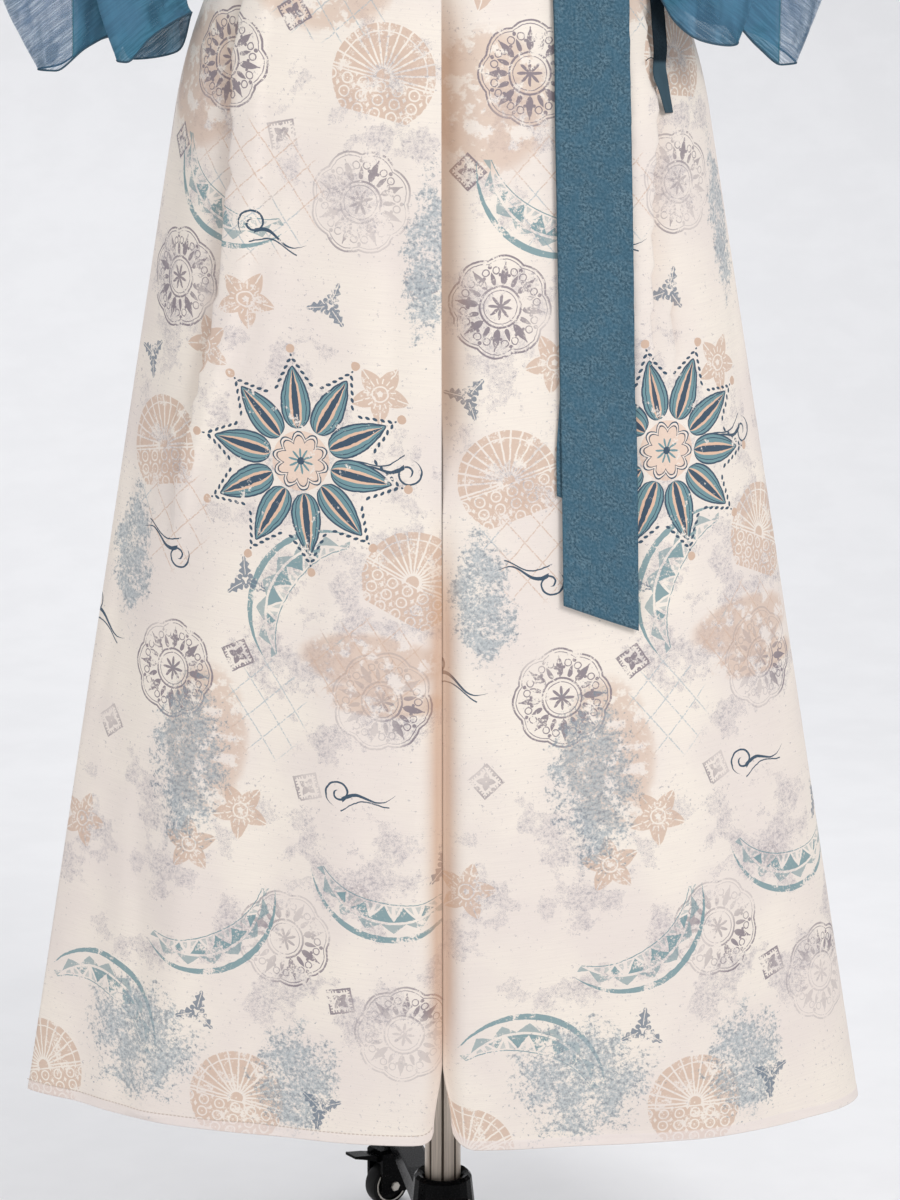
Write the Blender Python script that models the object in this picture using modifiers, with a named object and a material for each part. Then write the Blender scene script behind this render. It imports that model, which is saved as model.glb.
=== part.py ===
"""Hanfu skirt set worn by a limbless dress form on a wheeled stand.

A printed two panel wrap skirt, a chiffon jacket tucked into it, a waist sash with hanging ends and a
narrow tie. Metres, +Z up, the front faces -Y. Left and right are as seen from the front. The origin is
on the floor, under the pole.
"""

import math
from collections import namedtuple
from functools import lru_cache

import bmesh
import bpy
from mathutils import Matrix, Vector

# Heights of the garment
SKIRT_TOP = 1.195
SKIRT_HEM = 0.198
HEM_DROP = {"left": 0.0, "right": 0.0035}
BAND_HEIGHT = 0.040
SASH_HEIGHT = 0.056
HIP_START = 1.000

# Skirt sections: half widths and depths, and how pointed the sides are
HEM_HALF_WIDTH = 0.3417
WIDTH_PER_HEIGHT = 0.169
WAIST_HALF_WIDTH = 0.1185
HEM_FRONT = 0.128
HIP_FRONT = 0.120
WAIST_FRONT = 0.0885
HEM_BACK = 0.135
HIP_BACK = 0.130
WAIST_BACK = 0.0850
ROUND = 0.50
POINTED_LEFT = 0.95
POINTED_RIGHT = 0.56
POINTED_BACK = 0.72

# Front opening
UNDERLAP = 0.040
LAP_END = 0.740
LAP_STEP = 0.0065
LAP_LIFT = 0.0020
LAP_ROLL = 0.045
GROOVE_DEPTH = 0.009
GROOVE_WIDTH = 0.011
GROOVE_FULL = 0.600
SLIT_TOP = 0.262
SLIT_HALF = 0.0066
CORNER_LEFT = 0.010
CORNER_RIGHT = 0.020

# Cloth
SKIRT_WALL = 0.0012
CHIFFON_WALL = 0.0010
SASH_WALL = 0.0014
SEAM_GAP = 0.0003
SIDE_SEAM = 0.0007
PLEAT_HALF = 0.009
LAYER = 0.0027
ROW_HEIGHTS = {
    "front": (1.195, 1.165, 1.135, 1.10, 1.06, 1.02, 0.98, 0.94, 0.90, 0.86, 0.82, 0.78, 0.74, 0.70, 0.65,
              0.58, 0.50, 0.42, 0.34, 0.27, 0.235, 0.198),
    "back": (1.195, 1.16, 1.12, 1.07, 1.01, 0.95, 0.90, 0.855, 0.81, 0.77, 0.72, 0.65, 0.52, 0.36, 0.198),
}
CURVE_STEPS = 72

# Sash and tie
TAIL_SLANT = 0.022
TAIL_END = 0.6205
UNDER_TAIL_END = 0.705
TAIL_REACH = 0.005
TIE_HALF_WIDTH = 0.0052
TIE_REACH = 0.0012
TIE_CLEAR = 0.0022
TIE_TOP_CLEAR = 0.0015

# Dress form and stand
FORM_SEGMENTS = 28
NECK_CAP_HEIGHT = 0.014
POLE_RADIUS = 0.015
POLE_FLUTES = 8
POLE_FOOT = 0.102
HUB_TOP = 0.125
HUB_FOOT = 0.052
LEG_UNDER = 0.060
LEG_RADIUS = 0.247
LEG_TURN = math.radians(9.5)
LEGS = 4
WHEEL_RADIUS = 0.020
WHEEL_WIDTH = 0.016
WHEEL_SIDES = 24
CASTER_OFFSET = 0.013
CASTER_HEADING = Vector((-0.8, -0.6, 0.0))
FORK_HALF = 0.0120
FORK_INSIDE = 0.0086
FORK_FRONT = 0.019
FORK_BACK = 0.013
AXLE_RADIUS = 0.003
RUNNING_GAP = 0.0004

Ring = namedtuple("Ring", "height half_width front back")
FORM_RINGS = (
    Ring(0.935, 0.150, 0.090, 0.098),
    Ring(0.970, 0.160, 0.096, 0.110),
    Ring(1.020, 0.164, 0.098, 0.115),
    Ring(1.080, 0.152, 0.094, 0.106),
    Ring(1.140, 0.129, 0.087, 0.091),
    Ring(1.190, 0.1140, 0.084, 0.0805),
    Ring(1.255, 0.1140, 0.084, 0.0805),
    Ring(1.310, 0.130, 0.106, 0.090),
    Ring(1.365, 0.143, 0.124, 0.096),
    Ring(1.410, 0.150, 0.124, 0.101),
    Ring(1.460, 0.157, 0.106, 0.104),
    Ring(1.510, 0.167, 0.084, 0.102),
    Ring(1.555, 0.174, 0.066, 0.092),
    Ring(1.585, 0.168, 0.054, 0.078),
    Ring(1.605, 0.140, 0.048, 0.068),
    Ring(1.625, 0.096, 0.045, 0.058),
    Ring(1.642, 0.064, 0.046, 0.052),
    Ring(1.665, 0.055, 0.048, 0.049),
    Ring(1.700, 0.052, 0.047, 0.047),
)

FOOT_ROUNDING = 0.006
FORM_FOOT_HEIGHTS = (0.935, 0.940, 0.955, 0.990, 1.040, 1.090, 1.140)
WAIST_HEIGHTS = (1.165, 1.190, 1.250)
CHEST_HEIGHTS = (1.290, 1.330, 1.370, 1.410, 1.452, 1.500, 1.545)
SHOULDER_HEIGHTS = (1.571, 1.587, 1.599, 1.609, 1.619, 1.630, 1.642, 1.660)
ARM_HEIGHTS = (1.457, 1.470, 1.500, 1.535, 1.5575, 1.571, 1.583, 1.587)
COLLAR_FOOT = 1.262

# How far the jacket stands off the form, at each height
Ease = namedtuple("Ease", "height gap")
JACKET_EASE = (
    Ease(1.150, 0.0026),
    Ease(1.240, 0.0026),
    Ease(1.300, 0.0090),
    Ease(1.400, 0.0100),
    Ease(1.480, 0.0090),
    Ease(1.540, 0.0060),
    Ease(1.585, 0.0032),
    Ease(1.700, 0.0030),
)

# One knife pleat, across in half pleats and height in layers, pressed shut and as a step
Turn = namedtuple("Turn", "shut flat height step_height")
PLEAT = (
    Turn(-3.40, -3.40, 0.0, 0.0),
    Turn(-2.20, -2.20, 0.7, 0.7),
    Turn(-1.20, -1.40, 2.0, 2.0),
    Turn(0.75, -0.75, 2.0, 2.0),
    Turn(1.00, -0.45, 1.5, 1.6),
    Turn(0.75, -0.15, 1.25, 1.2),
    Turn(-0.75, 0.15, 0.75, 0.8),
    Turn(-1.00, 0.45, 0.5, 0.4),
    Turn(-0.75, 0.75, 0.0, 0.0),
    Turn(1.10, 1.40, 0.0, 0.0),
    Turn(2.60, 2.60, 0.0, 0.0),
)

# Where each pleat's edge runs, as a share of the half width. Shut is 1 for a pressed pleat, 0 for a
# step and -1 for flat cloth.
PleatLine = namedtuple("PleatLine", "height share shut")
PLEAT_LINES = {
    ("left", "front"): (
        PleatLine(0.198, 0.84, -1.0),
        PleatLine(0.620, 0.84, -1.0),
        PleatLine(0.700, 0.835, -0.5),
        PleatLine(0.780, 0.79, 0.0),
        PleatLine(0.880, 0.74, 0.6),
        PleatLine(0.960, 0.73, 1.0),
        PleatLine(1.085, 0.79, 1.0),
        PleatLine(1.195, 0.76, 0.8),
    ),
    ("right", "front"): (
        PleatLine(0.198, 0.69, -1.0),
        PleatLine(0.700, 0.69, -1.0),
        PleatLine(0.780, 0.69, -0.5),
        PleatLine(0.860, 0.705, 0.0),
        PleatLine(0.940, 0.735, 0.5),
        PleatLine(1.015, 0.775, 1.0),
        PleatLine(1.195, 0.80, 0.8),
    ),
    ("left", "back"): (
        PleatLine(0.198, 0.60, -1.0),
        PleatLine(0.640, 0.60, -1.0),
        PleatLine(0.720, 0.60, -0.5),
        PleatLine(0.810, 0.59, 0.0),
        PleatLine(0.950, 0.58, 0.9),
        PleatLine(1.195, 0.62, 0.8),
    ),
    ("right", "back"): (
        PleatLine(0.198, 0.55, -1.0),
        PleatLine(0.600, 0.55, -1.0),
        PleatLine(0.690, 0.55, -0.5),
        PleatLine(0.770, 0.55, 0.0),
        PleatLine(0.900, 0.56, 0.8),
        PleatLine(1.195, 0.64, 0.8),
    ),
}

# Soft ridges and troughs: where they run as a share of the way to the side, and their height
Fold = namedtuple("Fold", "top_share hem_share spread top_height hem_height")
FOLDS = {
    ("left", "front"): (
        Fold(0.36, 0.34, 0.11, -0.001, -0.004),
        Fold(0.60, 0.62, 0.09, 0.000, 0.003),
        Fold(0.90, 0.86, 0.07, -0.002, -0.004),
    ),
    ("right", "front"): (
        Fold(0.30, 0.26, 0.10, -0.001, -0.003),
        Fold(0.62, 0.55, 0.09, 0.000, 0.003),
        Fold(0.88, 0.80, 0.08, -0.001, -0.003),
    ),
    ("left", "back"): (
        Fold(0.25, 0.30, 0.10, 0.000, 0.006),
        Fold(0.55, 0.62, 0.10, -0.001, -0.007),
        Fold(0.85, 0.86, 0.07, 0.000, 0.004),
    ),
    ("right", "back"): (
        Fold(0.20, 0.24, 0.10, 0.000, -0.006),
        Fold(0.50, 0.52, 0.10, 0.000, 0.006),
        Fold(0.80, 0.80, 0.08, -0.001, -0.005),
    ),
}

# A sleeve as sections from the shoulder down: centre, tilt of the section, half sizes, share of cuff
Sleeve = namedtuple("Sleeve", "out deep height tilt half_wide half_deep cuff")
SLEEVE_LEFT = (
    Sleeve(0.195, 0.002, 1.520, 14, 0.070, 0.054, 0.0),
    Sleeve(0.222, 0.001, 1.488, 42, 0.063, 0.049, 0.0),
    Sleeve(0.236, -0.001, 1.440, 68, 0.057, 0.043, 0.0),
    Sleeve(0.244, -0.004, 1.370, 82, 0.056, 0.037, 0.0),
    Sleeve(0.251, -0.006, 1.300, 88, 0.058, 0.032, 0.1),
    Sleeve(0.258, -0.008, 1.235, 90, 0.064, 0.030, 0.3),
    Sleeve(0.262, -0.010, 1.175, 90, 0.070, 0.029, 0.6),
    Sleeve(0.264, -0.012, 1.125, 90, 0.074, 0.028, 0.85),
    Sleeve(0.264, -0.012, 1.085, 90, 0.074, 0.028, 1.0),
)
SLEEVE_RIGHT = (
    Sleeve(0.195, 0.001, 1.520, 14, 0.070, 0.054, 0.0),
    Sleeve(0.220, -0.003, 1.488, 42, 0.063, 0.049, 0.0),
    Sleeve(0.231, -0.011, 1.440, 68, 0.057, 0.043, 0.0),
    Sleeve(0.235, -0.022, 1.370, 82, 0.056, 0.037, 0.0),
    Sleeve(0.235, -0.032, 1.300, 88, 0.058, 0.032, 0.1),
    Sleeve(0.235, -0.040, 1.235, 90, 0.063, 0.030, 0.3),
    Sleeve(0.233, -0.046, 1.175, 90, 0.067, 0.029, 0.6),
    Sleeve(0.233, -0.050, 1.140, 90, 0.072, 0.028, 0.85),
    Sleeve(0.233, -0.051, 1.103, 90, 0.074, 0.028, 1.0),
)

# The edge of each cuff, anticlockwise from the inner end by the front to the outer tip
Cuff = namedtuple("Cuff", "turn out deep height")
CUFF_LEFT = (
    Cuff(180, 0.1905, -0.028, 1.0735),
    Cuff(157, 0.2050, -0.045, 1.0660),
    Cuff(136, 0.2215, -0.051, 1.0540),
    Cuff(118, 0.2385, -0.052, 1.0372),
    Cuff(108, 0.2462, -0.046, 1.0382),
    Cuff(98, 0.2440, -0.040, 1.0470),
    Cuff(88, 0.2385, -0.034, 1.0565),
    Cuff(78, 0.2440, -0.027, 1.0590),
    Cuff(56, 0.2703, -0.024, 1.0476),
    Cuff(28, 0.2960, -0.020, 1.0290),
    Cuff(0, 0.3110, -0.006, 1.0295),
    Cuff(-30, 0.2975, 0.010, 1.0317),
    Cuff(-60, 0.2730, 0.016, 1.0475),
    Cuff(-90, 0.2520, 0.014, 1.0540),
    Cuff(-120, 0.2385, 0.009, 1.0365),
    Cuff(-150, 0.2040, -0.004, 1.0430),
)
CUFF_RIGHT = (
    Cuff(180, 0.1630, -0.080, 1.0855),
    Cuff(157, 0.1740, -0.096, 1.0680),
    Cuff(136, 0.1905, -0.102, 1.0563),
    Cuff(118, 0.2130, -0.100, 1.0520),
    Cuff(108, 0.2198, -0.094, 1.0540),
    Cuff(98, 0.2160, -0.087, 1.0600),
    Cuff(88, 0.2110, -0.080, 1.0680),
    Cuff(78, 0.2150, -0.072, 1.0700),
    Cuff(56, 0.2370, -0.056, 1.0500),
    Cuff(28, 0.2580, -0.040, 1.0347),
    Cuff(0, 0.2710, -0.020, 1.0352),
    Cuff(-30, 0.2640, -0.006, 1.0420),
    Cuff(-60, 0.2436, -0.012, 1.0549),
    Cuff(-90, 0.2216, -0.026, 1.0631),
    Cuff(-120, 0.1996, -0.044, 1.0670),
    Cuff(-150, 0.1778, -0.062, 1.0790),
)
SLEEVE_COLUMNS = 30
ARMHOLE_CENTRE = 1.5195
ARMHOLE_HALF = 0.0675
ARMHOLE_TURN = math.radians(50)

# The collar band round the neck: angle from the centre front, and the heights of its two edges
Collar = namedtuple("Collar", "inner_turn inner_height outer_turn outer_height")
COLLAR_WIDTH = 0.029
COLLAR_NECK = (
    Collar(19.9, 1.602, 31.5, 1.598),
    Collar(30, 1.619, 40, 1.608),
    Collar(52, 1.642, 58, 1.629),
    Collar(80, 1.656, 83, 1.6335),
    Collar(112, 1.661, 112, 1.6335),
    Collar(146, 1.662, 146, 1.6335),
    Collar(180, 1.662, 180, 1.6335),
)
COLLAR_STATIONS = (19.9, 30, 41, 52, 66, 80, 96, 112, 128, 145, 162, 180)

# Routes of the hanging strips: sideways place at each height
Route = namedtuple("Route", "height across")
TAIL_ROUTE = (
    Route(1.1952, 0.0860),
    Route(1.1500, 0.0980),
    Route(1.1200, 0.1045),
    Route(1.0850, 0.1090),
    Route(0.9740, 0.1126),
    Route(0.8040, 0.1168),
    Route(0.6100, 0.1208),
)
TIE_ROUTE = (
    Route(1.1952, 0.1128),
    Route(1.1500, 0.1360),
    Route(1.1200, 0.1490),
    Route(1.0850, 0.1565),
    Route(1.0420, 0.1560),
    Route(1.0200, 0.1625),
    Route(1.0005, 0.1690),
)
Spread = namedtuple("Spread", "height half_width")
TAIL_SPREAD = (
    Spread(1.1952, 0.0170),
    Spread(1.1500, 0.0235),
    Spread(1.0850, 0.0277),
    Spread(0.9740, 0.0288),
    Spread(0.6100, 0.0286),
)
Twist = namedtuple("Twist", "height degrees")
TIE_TWIST = (
    Twist(1.1952, 0),
    Twist(1.1700, 10),
    Twist(1.1000, 35),
    Twist(1.0600, 55),
    Twist(1.0380, 84),
    Twist(1.0200, 20),
    Twist(1.0005, 0),
)


def ease(low, high, value):
    """0 at low, 1 at high, smooth between."""
    share = min(1.0, max(0.0, (value - low) / (high - low)))
    return share * share * (3 - 2 * share)


def read(rows, column, at):
    """The named column of a table at a value of its first column, on a smooth curve through its rows."""
    keys = [row[0] for row in rows]
    values = [getattr(row, column) for row in rows]
    if keys[0] > keys[-1]:
        keys.reverse()
        values.reverse()
    if at <= keys[0]:
        return values[0]
    if at >= keys[-1]:
        return values[-1]
    i = max(k for k in range(len(keys) - 1) if keys[k] <= at)
    span = keys[i + 1] - keys[i]
    rise = (values[i + 1] - values[i]) / span
    before = (values[i] - values[i - 1]) / (keys[i] - keys[i - 1]) if i else rise
    after = (values[i + 2] - values[i + 1]) / (keys[i + 2] - keys[i + 1]) if i + 2 < len(keys) else rise
    start = 0 if before * rise <= 0 else min((before + rise) / 2, 2 * before, 2 * rise, key=abs)
    end = 0 if rise * after <= 0 else min((rise + after) / 2, 2 * rise, 2 * after, key=abs)
    t = (at - keys[i]) / span
    return (
        values[i] * (2 * t**3 - 3 * t**2 + 1)
        + span * start * (t**3 - 2 * t**2 + t)
        + values[i + 1] * (3 * t**2 - 2 * t**3)
        + span * end * (t**3 - t**2)
    )


def material(name, colour, roughness, metallic=0.0):
    made = bpy.data.materials.new(name)
    made.use_nodes = True
    shader = made.node_tree.nodes["Principled BSDF"]
    shader.inputs["Base Color"].default_value = (*colour, 1.0)
    shader.inputs["Roughness"].default_value = roughness
    shader.inputs["Metallic"].default_value = metallic
    return made


def place(name, mesh, finish, smooth=True):
    """One named object of the set, with its own material."""
    made = bpy.data.objects.new(name, mesh)
    mesh.materials.append(finish)
    if smooth:
        mesh.shade_smooth()
    bpy.data.collections["hanfu_skirt_set"].objects.link(made)
    return made


def mesh_of(name, points, faces):
    mesh = bpy.data.meshes.new(name)
    mesh.from_pydata(points, [], faces)
    mesh.update()
    return mesh


def cloth(name, grid, thickness, finish, closed=False):
    """A wall of cloth on a grid of points, rows down and columns across. Closed joins its two sides."""
    width = len(grid[0])
    last = width if closed else width - 1
    faces = [
        (r * width + c, r * width + (c + 1) % width, (r + 1) * width + (c + 1) % width, (r + 1) * width + c)
        for r in range(len(grid) - 1)
        for c in range(last)
    ]
    made = place(name, mesh_of(name, [p for row in grid for p in row], faces), finish)
    wall = made.modifiers.new("Cloth thickness", "SOLIDIFY")
    wall.thickness = thickness
    wall.offset = 0.0
    return made


def loft(name, grid, finish):
    """A closed solid through rings of points, with flat ends."""
    width = len(grid[0])
    faces = [
        (r * width + c, r * width + (c + 1) % width, (r + 1) * width + (c + 1) % width, (r + 1) * width + c)
        for r in range(len(grid) - 1)
        for c in range(width)
    ]
    faces.append(tuple(reversed(range(width))))
    faces.append(tuple((len(grid) - 1) * width + c for c in range(width)))
    return place(name, mesh_of(name, [p for row in grid for p in row], faces), finish)


# The skirt


def skirt_size(quarter, z):
    """Half width, depth and roundness of a quarter's section."""
    side, face = quarter
    up = min(1.0, max(0.0, (z - HIP_START) / (SKIRT_TOP - HIP_START))) ** 2
    drop = (z - SKIRT_HEM) / (SKIRT_TOP - SKIRT_HEM)
    straight = HEM_HALF_WIDTH - WIDTH_PER_HEIGHT * (z - SKIRT_HEM)
    waist_straight = HEM_HALF_WIDTH - WIDTH_PER_HEIGHT * (SKIRT_TOP - SKIRT_HEM)
    half_width = straight + (WAIST_HALF_WIDTH - waist_straight) * up
    if face == "front":
        hem, hip, waist = HEM_FRONT, HIP_FRONT, WAIST_FRONT
        pointed = POINTED_LEFT if side == "left" else POINTED_RIGHT
    else:
        hem, hip, waist = HEM_BACK, HIP_BACK, WAIST_BACK
        pointed = POINTED_BACK
    depth = hem + (hip - hem) * drop + (waist - hip) * up
    return half_width, depth, ROUND + (pointed - ROUND) * (1 - ease(0.0, 1.0, drop))


def opening_edge(side, z):
    """Sideways place of a front panel's edge."""
    gap = SEAM_GAP + SLIT_HALF * ease(SLIT_TOP, SKIRT_HEM, z)
    if side == "left":
        return gap
    return gap - UNDERLAP * ease(LAP_END, SKIRT_TOP - 0.04, z)


def section(quarter, z):
    """The plain curve of a quarter at height z, from the centre to the side, and the lengths along it."""
    side, face = quarter
    half_width, depth, pointed = skirt_size(quarter, z)
    start = opening_edge(side, z) if face == "front" else SEAM_GAP
    first = math.asin(start / half_width)
    points = []
    for i in range(CURVE_STEPS + 1):
        turn = first + (math.pi / 2 - first) * i / CURVE_STEPS
        deep = SIDE_SEAM + depth * abs(math.cos(turn)) ** (2 * pointed)
        points.append(Vector((half_width * math.sin(turn), -deep, 0)))
    lengths = [0.0]
    for a, b in zip(points, points[1:]):
        lengths.append(lengths[-1] + (b - a).length)
    return points, lengths


def along(points, lengths, distance):
    """Point and outward direction at a distance along a plain curve."""
    distance = min(max(distance, 0.0), lengths[-1])
    i = max(k for k in range(len(lengths) - 1) if lengths[k] <= distance)
    span = points[i + 1] - points[i]
    outward = Vector((-span.y, span.x, 0)).normalized() * -1
    return points[i] + span * ((distance - lengths[i]) / (lengths[i + 1] - lengths[i])), outward


def pleat_stations(middle, shut):
    """Distances and heights of the cloth through one pleat whose middle is there."""
    raised = ease(-1.0, -0.1, shut)
    stations = []
    for turn in PLEAT:
        if abs(turn.shut) <= 1.0:
            across = turn.shut * shut if shut > 0 else -turn.flat * shut
        else:
            across = turn.shut + (turn.flat - turn.shut) * (1 - shut) / 2
        height = turn.step_height + (turn.height - turn.step_height) * max(shut, 0.0)
        stations.append((middle + across * PLEAT_HALF, height * LAYER * raised))
    return stations


def front_relief(side, z, distance):
    """Depth near the opening: the right panel passes under the left, and both roll into a groove."""
    lap = ease(LAP_END - 0.05, LAP_END + 0.05, z)
    groove = GROOVE_DEPTH * (1 - ease(GROOVE_FULL, LAP_END, z)) * (0.35 + 0.65 * ease(SKIRT_HEM, 0.34, z))
    inward = groove * math.exp(-((distance / GROOVE_WIDTH) ** 2))
    if side == "right":
        past_edge = distance - UNDERLAP * ease(LAP_END, SKIRT_TOP - 0.04, z)
        inward += lap * LAP_STEP * (1 - ease(1.04, 1.15, z)) * (1 - ease(0.0, LAP_ROLL, past_edge))
    else:
        inward -= lap * LAP_LIFT * ease(1.04, 1.15, z) * (1 - ease(0.042, 0.070, distance))
    return -inward


def skirt_row(quarter, z):
    """One row of a panel, from the opening or the back seam to the side seam."""
    side, face = quarter
    points, lengths = section(quarter, z)
    half_width = skirt_size(quarter, z)[0]
    share = read(PLEAT_LINES[quarter], "share", z)
    shut = read(PLEAT_LINES[quarter], "shut", z)
    nearest = min(range(len(points)), key=lambda k: abs(points[k].x - share * half_width))
    pleat = pleat_stations(lengths[nearest] - PLEAT_HALF, shut)
    start, end = pleat[0][0], pleat[-1][0]
    inner = [start * s for s in (0.0, 0.035, 0.09, 0.18, 0.34, 0.55, 0.78)]
    outer = [end + (lengths[-1] - end) * s for s in (0.4, 0.75, 1.0)]
    stations = [(d, 0.0) for d in inner] + pleat + [(d, 0.0) for d in outer]
    drop = (SKIRT_TOP - z) / (SKIRT_TOP - SKIRT_HEM)
    row = []
    for distance, height in stations:
        base, outward = along(points, lengths, distance)
        part = distance / lengths[-1]
        for fold in FOLDS[quarter]:
            middle = fold.top_share + (fold.hem_share - fold.top_share) * drop
            size = fold.top_height + (fold.hem_height - fold.top_height) * drop
            height += size * ease(0.0, 0.15, drop) * math.exp(-(((part - middle) / fold.spread) ** 2))
        if face == "front":
            height += front_relief(side, z, distance)
        row.append(base + outward * height)
    return row, [distance for distance, _ in stations]


def facing(quarter, point, z):
    """A point of the front right quarter's plane, mirrored to the quarter it is for."""
    side, face = quarter
    return Vector((point.x * (1 if side == "right" else -1), point.y * (1 if face == "front" else -1), z))


def corner_lift(radius, distance):
    if distance >= radius:
        return 0.0
    return radius - math.sqrt(radius**2 - (radius - distance) ** 2)


def skirt_panel(quarter, finish):
    side, face = quarter
    radius = CORNER_LEFT if side == "left" else CORNER_RIGHT
    _, hem_distances = skirt_row(quarter, SKIRT_HEM)
    grid = []
    for z in ROW_HEIGHTS[face]:
        drop = (SKIRT_TOP - z) / (SKIRT_TOP - SKIRT_HEM)
        row, _ = skirt_row(quarter, z)
        z -= HEM_DROP[side] * ease(0.5, 1.0, drop)
        lifts = [0.0] * len(row)
        if face == "front":
            lifts = [corner_lift(radius, d) * ease(0.9, 1.0, drop) for d in hem_distances]
        grid.append([facing(quarter, point, z + lift) for point, lift in zip(row, lifts)])
    return cloth(f"skirt_{side}_{face}", grid, SKIRT_WALL, finish)


def waist_ring(z, outward):
    """The whole waist section, moved out, from the centre front round by the left."""
    ring = []
    for quarter, backwards in (
        (("left", "front"), False),
        (("left", "back"), True),
        (("right", "back"), False),
        (("right", "front"), True),
    ):
        half_width, depth, _ = skirt_size(quarter, SKIRT_TOP)
        turns = [math.pi / 2 * i / 10 for i in range(10)]
        if backwards:
            turns = [math.pi / 2 - t for t in turns]
        for turn in turns:
            point = Vector(((half_width + outward) * math.sin(turn), -(depth + outward) * math.cos(turn), 0))
            ring.append(facing(quarter, point, z))
    return ring


def waistband(finish):
    rings = [waist_ring(SKIRT_TOP + 0.0006 + BAND_HEIGHT * share, 0.0) for share in (1.0, 0.0)]
    for ring in rings:
        end = ring[0].copy()
        end.x = SEAM_GAP
        ring[0].x = -SEAM_GAP
        ring.append(end)
    return cloth("skirt_waistband", rings, SKIRT_WALL, finish)


# The sash and the tie


@lru_cache(maxsize=None)
def outer_row(z):
    row, _ = skirt_row(("right", "front"), min(z, SKIRT_TOP))
    return row


def outer_depth(x, z, reach):
    """How far forward the right front panel comes within reach of a sideways place."""
    row = outer_row(round(z, 5))
    low, high = x - reach, x + reach
    depths = [p.y for p in row if low <= p.x <= high]
    for edge in (low, x, high):
        for a, b in zip(row, row[1:]):
            if min(a.x, b.x) <= edge <= max(a.x, b.x) and a.x != b.x:
                depths.append(a.y + (b.y - a.y) * (edge - a.x) / (b.x - a.x))
    return min(depths, default=0.0)


def lying_point(x, z, clear, reach):
    """A point that lies on the right front panel, moved out square to it."""
    step = 0.004
    across = (outer_depth(x + step, z, reach) - outer_depth(x - step, z, reach)) / (2 * step)
    up = (outer_depth(x, z + step, reach) - outer_depth(x, z - step, reach)) / (2 * step)
    return Vector((x, outer_depth(x, z, reach), z)) + Vector((across, -1.0, up)).normalized() * clear


def strip(name, route, end, slant, clear, thickness, rows, columns, finish, shift=None):
    """A flat strip that hangs down the right front panel. Its end is cut on a slant."""
    top = route[0].height
    grid = []
    for r in range(rows + 1):
        line = []
        for c in range(columns + 1):
            across = 2 * c / columns - 1
            foot = end - slant * across
            z = top + (foot - top) * r / rows
            x = read(route, "across", z) + across * read(TAIL_SPREAD, "half_width", z)
            if shift:
                x += shift(z)
            line.append(lying_point(x, z, clear, TAIL_REACH))
        grid.append(line)
    return cloth(name, grid, thickness, finish)


def under_shift(z):
    """The under end of the sash shows past the upper one's left edge, low down."""
    return -0.0035 * (1 - ease(0.74, 0.80, z))


def tie(finish):
    """A narrow ribbon that hangs with one twist in it."""
    rows, columns = 22, 2
    top, end = TIE_ROUTE[0].height, TIE_ROUTE[-1].height
    grid = []
    for r in range(rows + 1):
        z = top + (end - top) * r / rows
        middle = read(TIE_ROUTE, "across", z)
        turn = math.radians(read(TIE_TWIST, "degrees", z))
        clear = TIE_CLEAR + (TIE_TOP_CLEAR - TIE_CLEAR) * ease(1.17, 1.195, z)
        on_skirt = lying_point(middle, z, clear + TIE_HALF_WIDTH * math.sin(turn), TIE_REACH)
        right = lying_point(middle + TIE_HALF_WIDTH, z, 0, TIE_REACH)
        left = lying_point(middle - TIE_HALF_WIDTH, z, 0, TIE_REACH)
        side = (right - left).normalized()
        away = Vector((side.y, -side.x, 0)).normalized()
        line = []
        for c in range(columns + 1):
            across = (2 * c / columns - 1) * TIE_HALF_WIDTH
            line.append(on_skirt + side * across * math.cos(turn) + away * across * math.sin(turn))
        grid.append(line)
    return cloth("waist_tie", grid, CHIFFON_WALL, finish)


def sash_wrap(finish):
    lift = SKIRT_WALL / 2 + SEAM_GAP + SASH_WALL / 2
    rings = [waist_ring(SKIRT_TOP + 0.0016 + SASH_HEIGHT * share, lift) for share in (1.0, 0.0)]
    return cloth("sash_wrap", rings, SASH_WALL, finish, closed=True)


def sash_knot(finish):
    """A flat knot on the wrap, over the top of the hanging ends."""
    mesh = bpy.data.meshes.new("sash_knot")
    shape = bmesh.new()
    bmesh.ops.create_cube(shape, size=1.0)
    shape.to_mesh(mesh)
    shape.free()
    made = place("sash_knot", mesh, finish)
    size = Vector((0.050, 0.024, 0.056))
    mesh.transform(Matrix.Diagonal((*size, 1)))
    soft = made.modifiers.new("Rounded", "SUBSURF")
    soft.levels = soft.render_levels = 2
    half_width, depth, _ = skirt_size(("right", "front"), SKIRT_TOP)
    lift = SKIRT_WALL / 2 + SEAM_GAP + SASH_WALL
    turn = math.asin(0.098 / half_width)
    out = Vector((math.sin(turn) / half_width, -math.cos(turn) / depth, 0)).normalized()
    on_wrap = Vector(((half_width + lift) * math.sin(turn), -(depth + lift) * math.cos(turn), 0))
    made.location = on_wrap + out * (0.0100 + SEAM_GAP) + Vector((0, 0, SKIRT_TOP + SASH_HEIGHT / 2))
    made.rotation_euler.z = math.atan2(out.x, -out.y)
    return made


# The dress form and the jacket


def form_point(turn, z, gap=0.0):
    """A point of the form at an angle from the centre front, positive to the right, moved out by gap."""
    half_width = read(FORM_RINGS, "half_width", z) + gap
    deep = read(FORM_RINGS, "front" if math.cos(turn) > 0 else "back", z) + gap
    return Vector((half_width * math.sin(turn), -deep * math.cos(turn), z))


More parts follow.
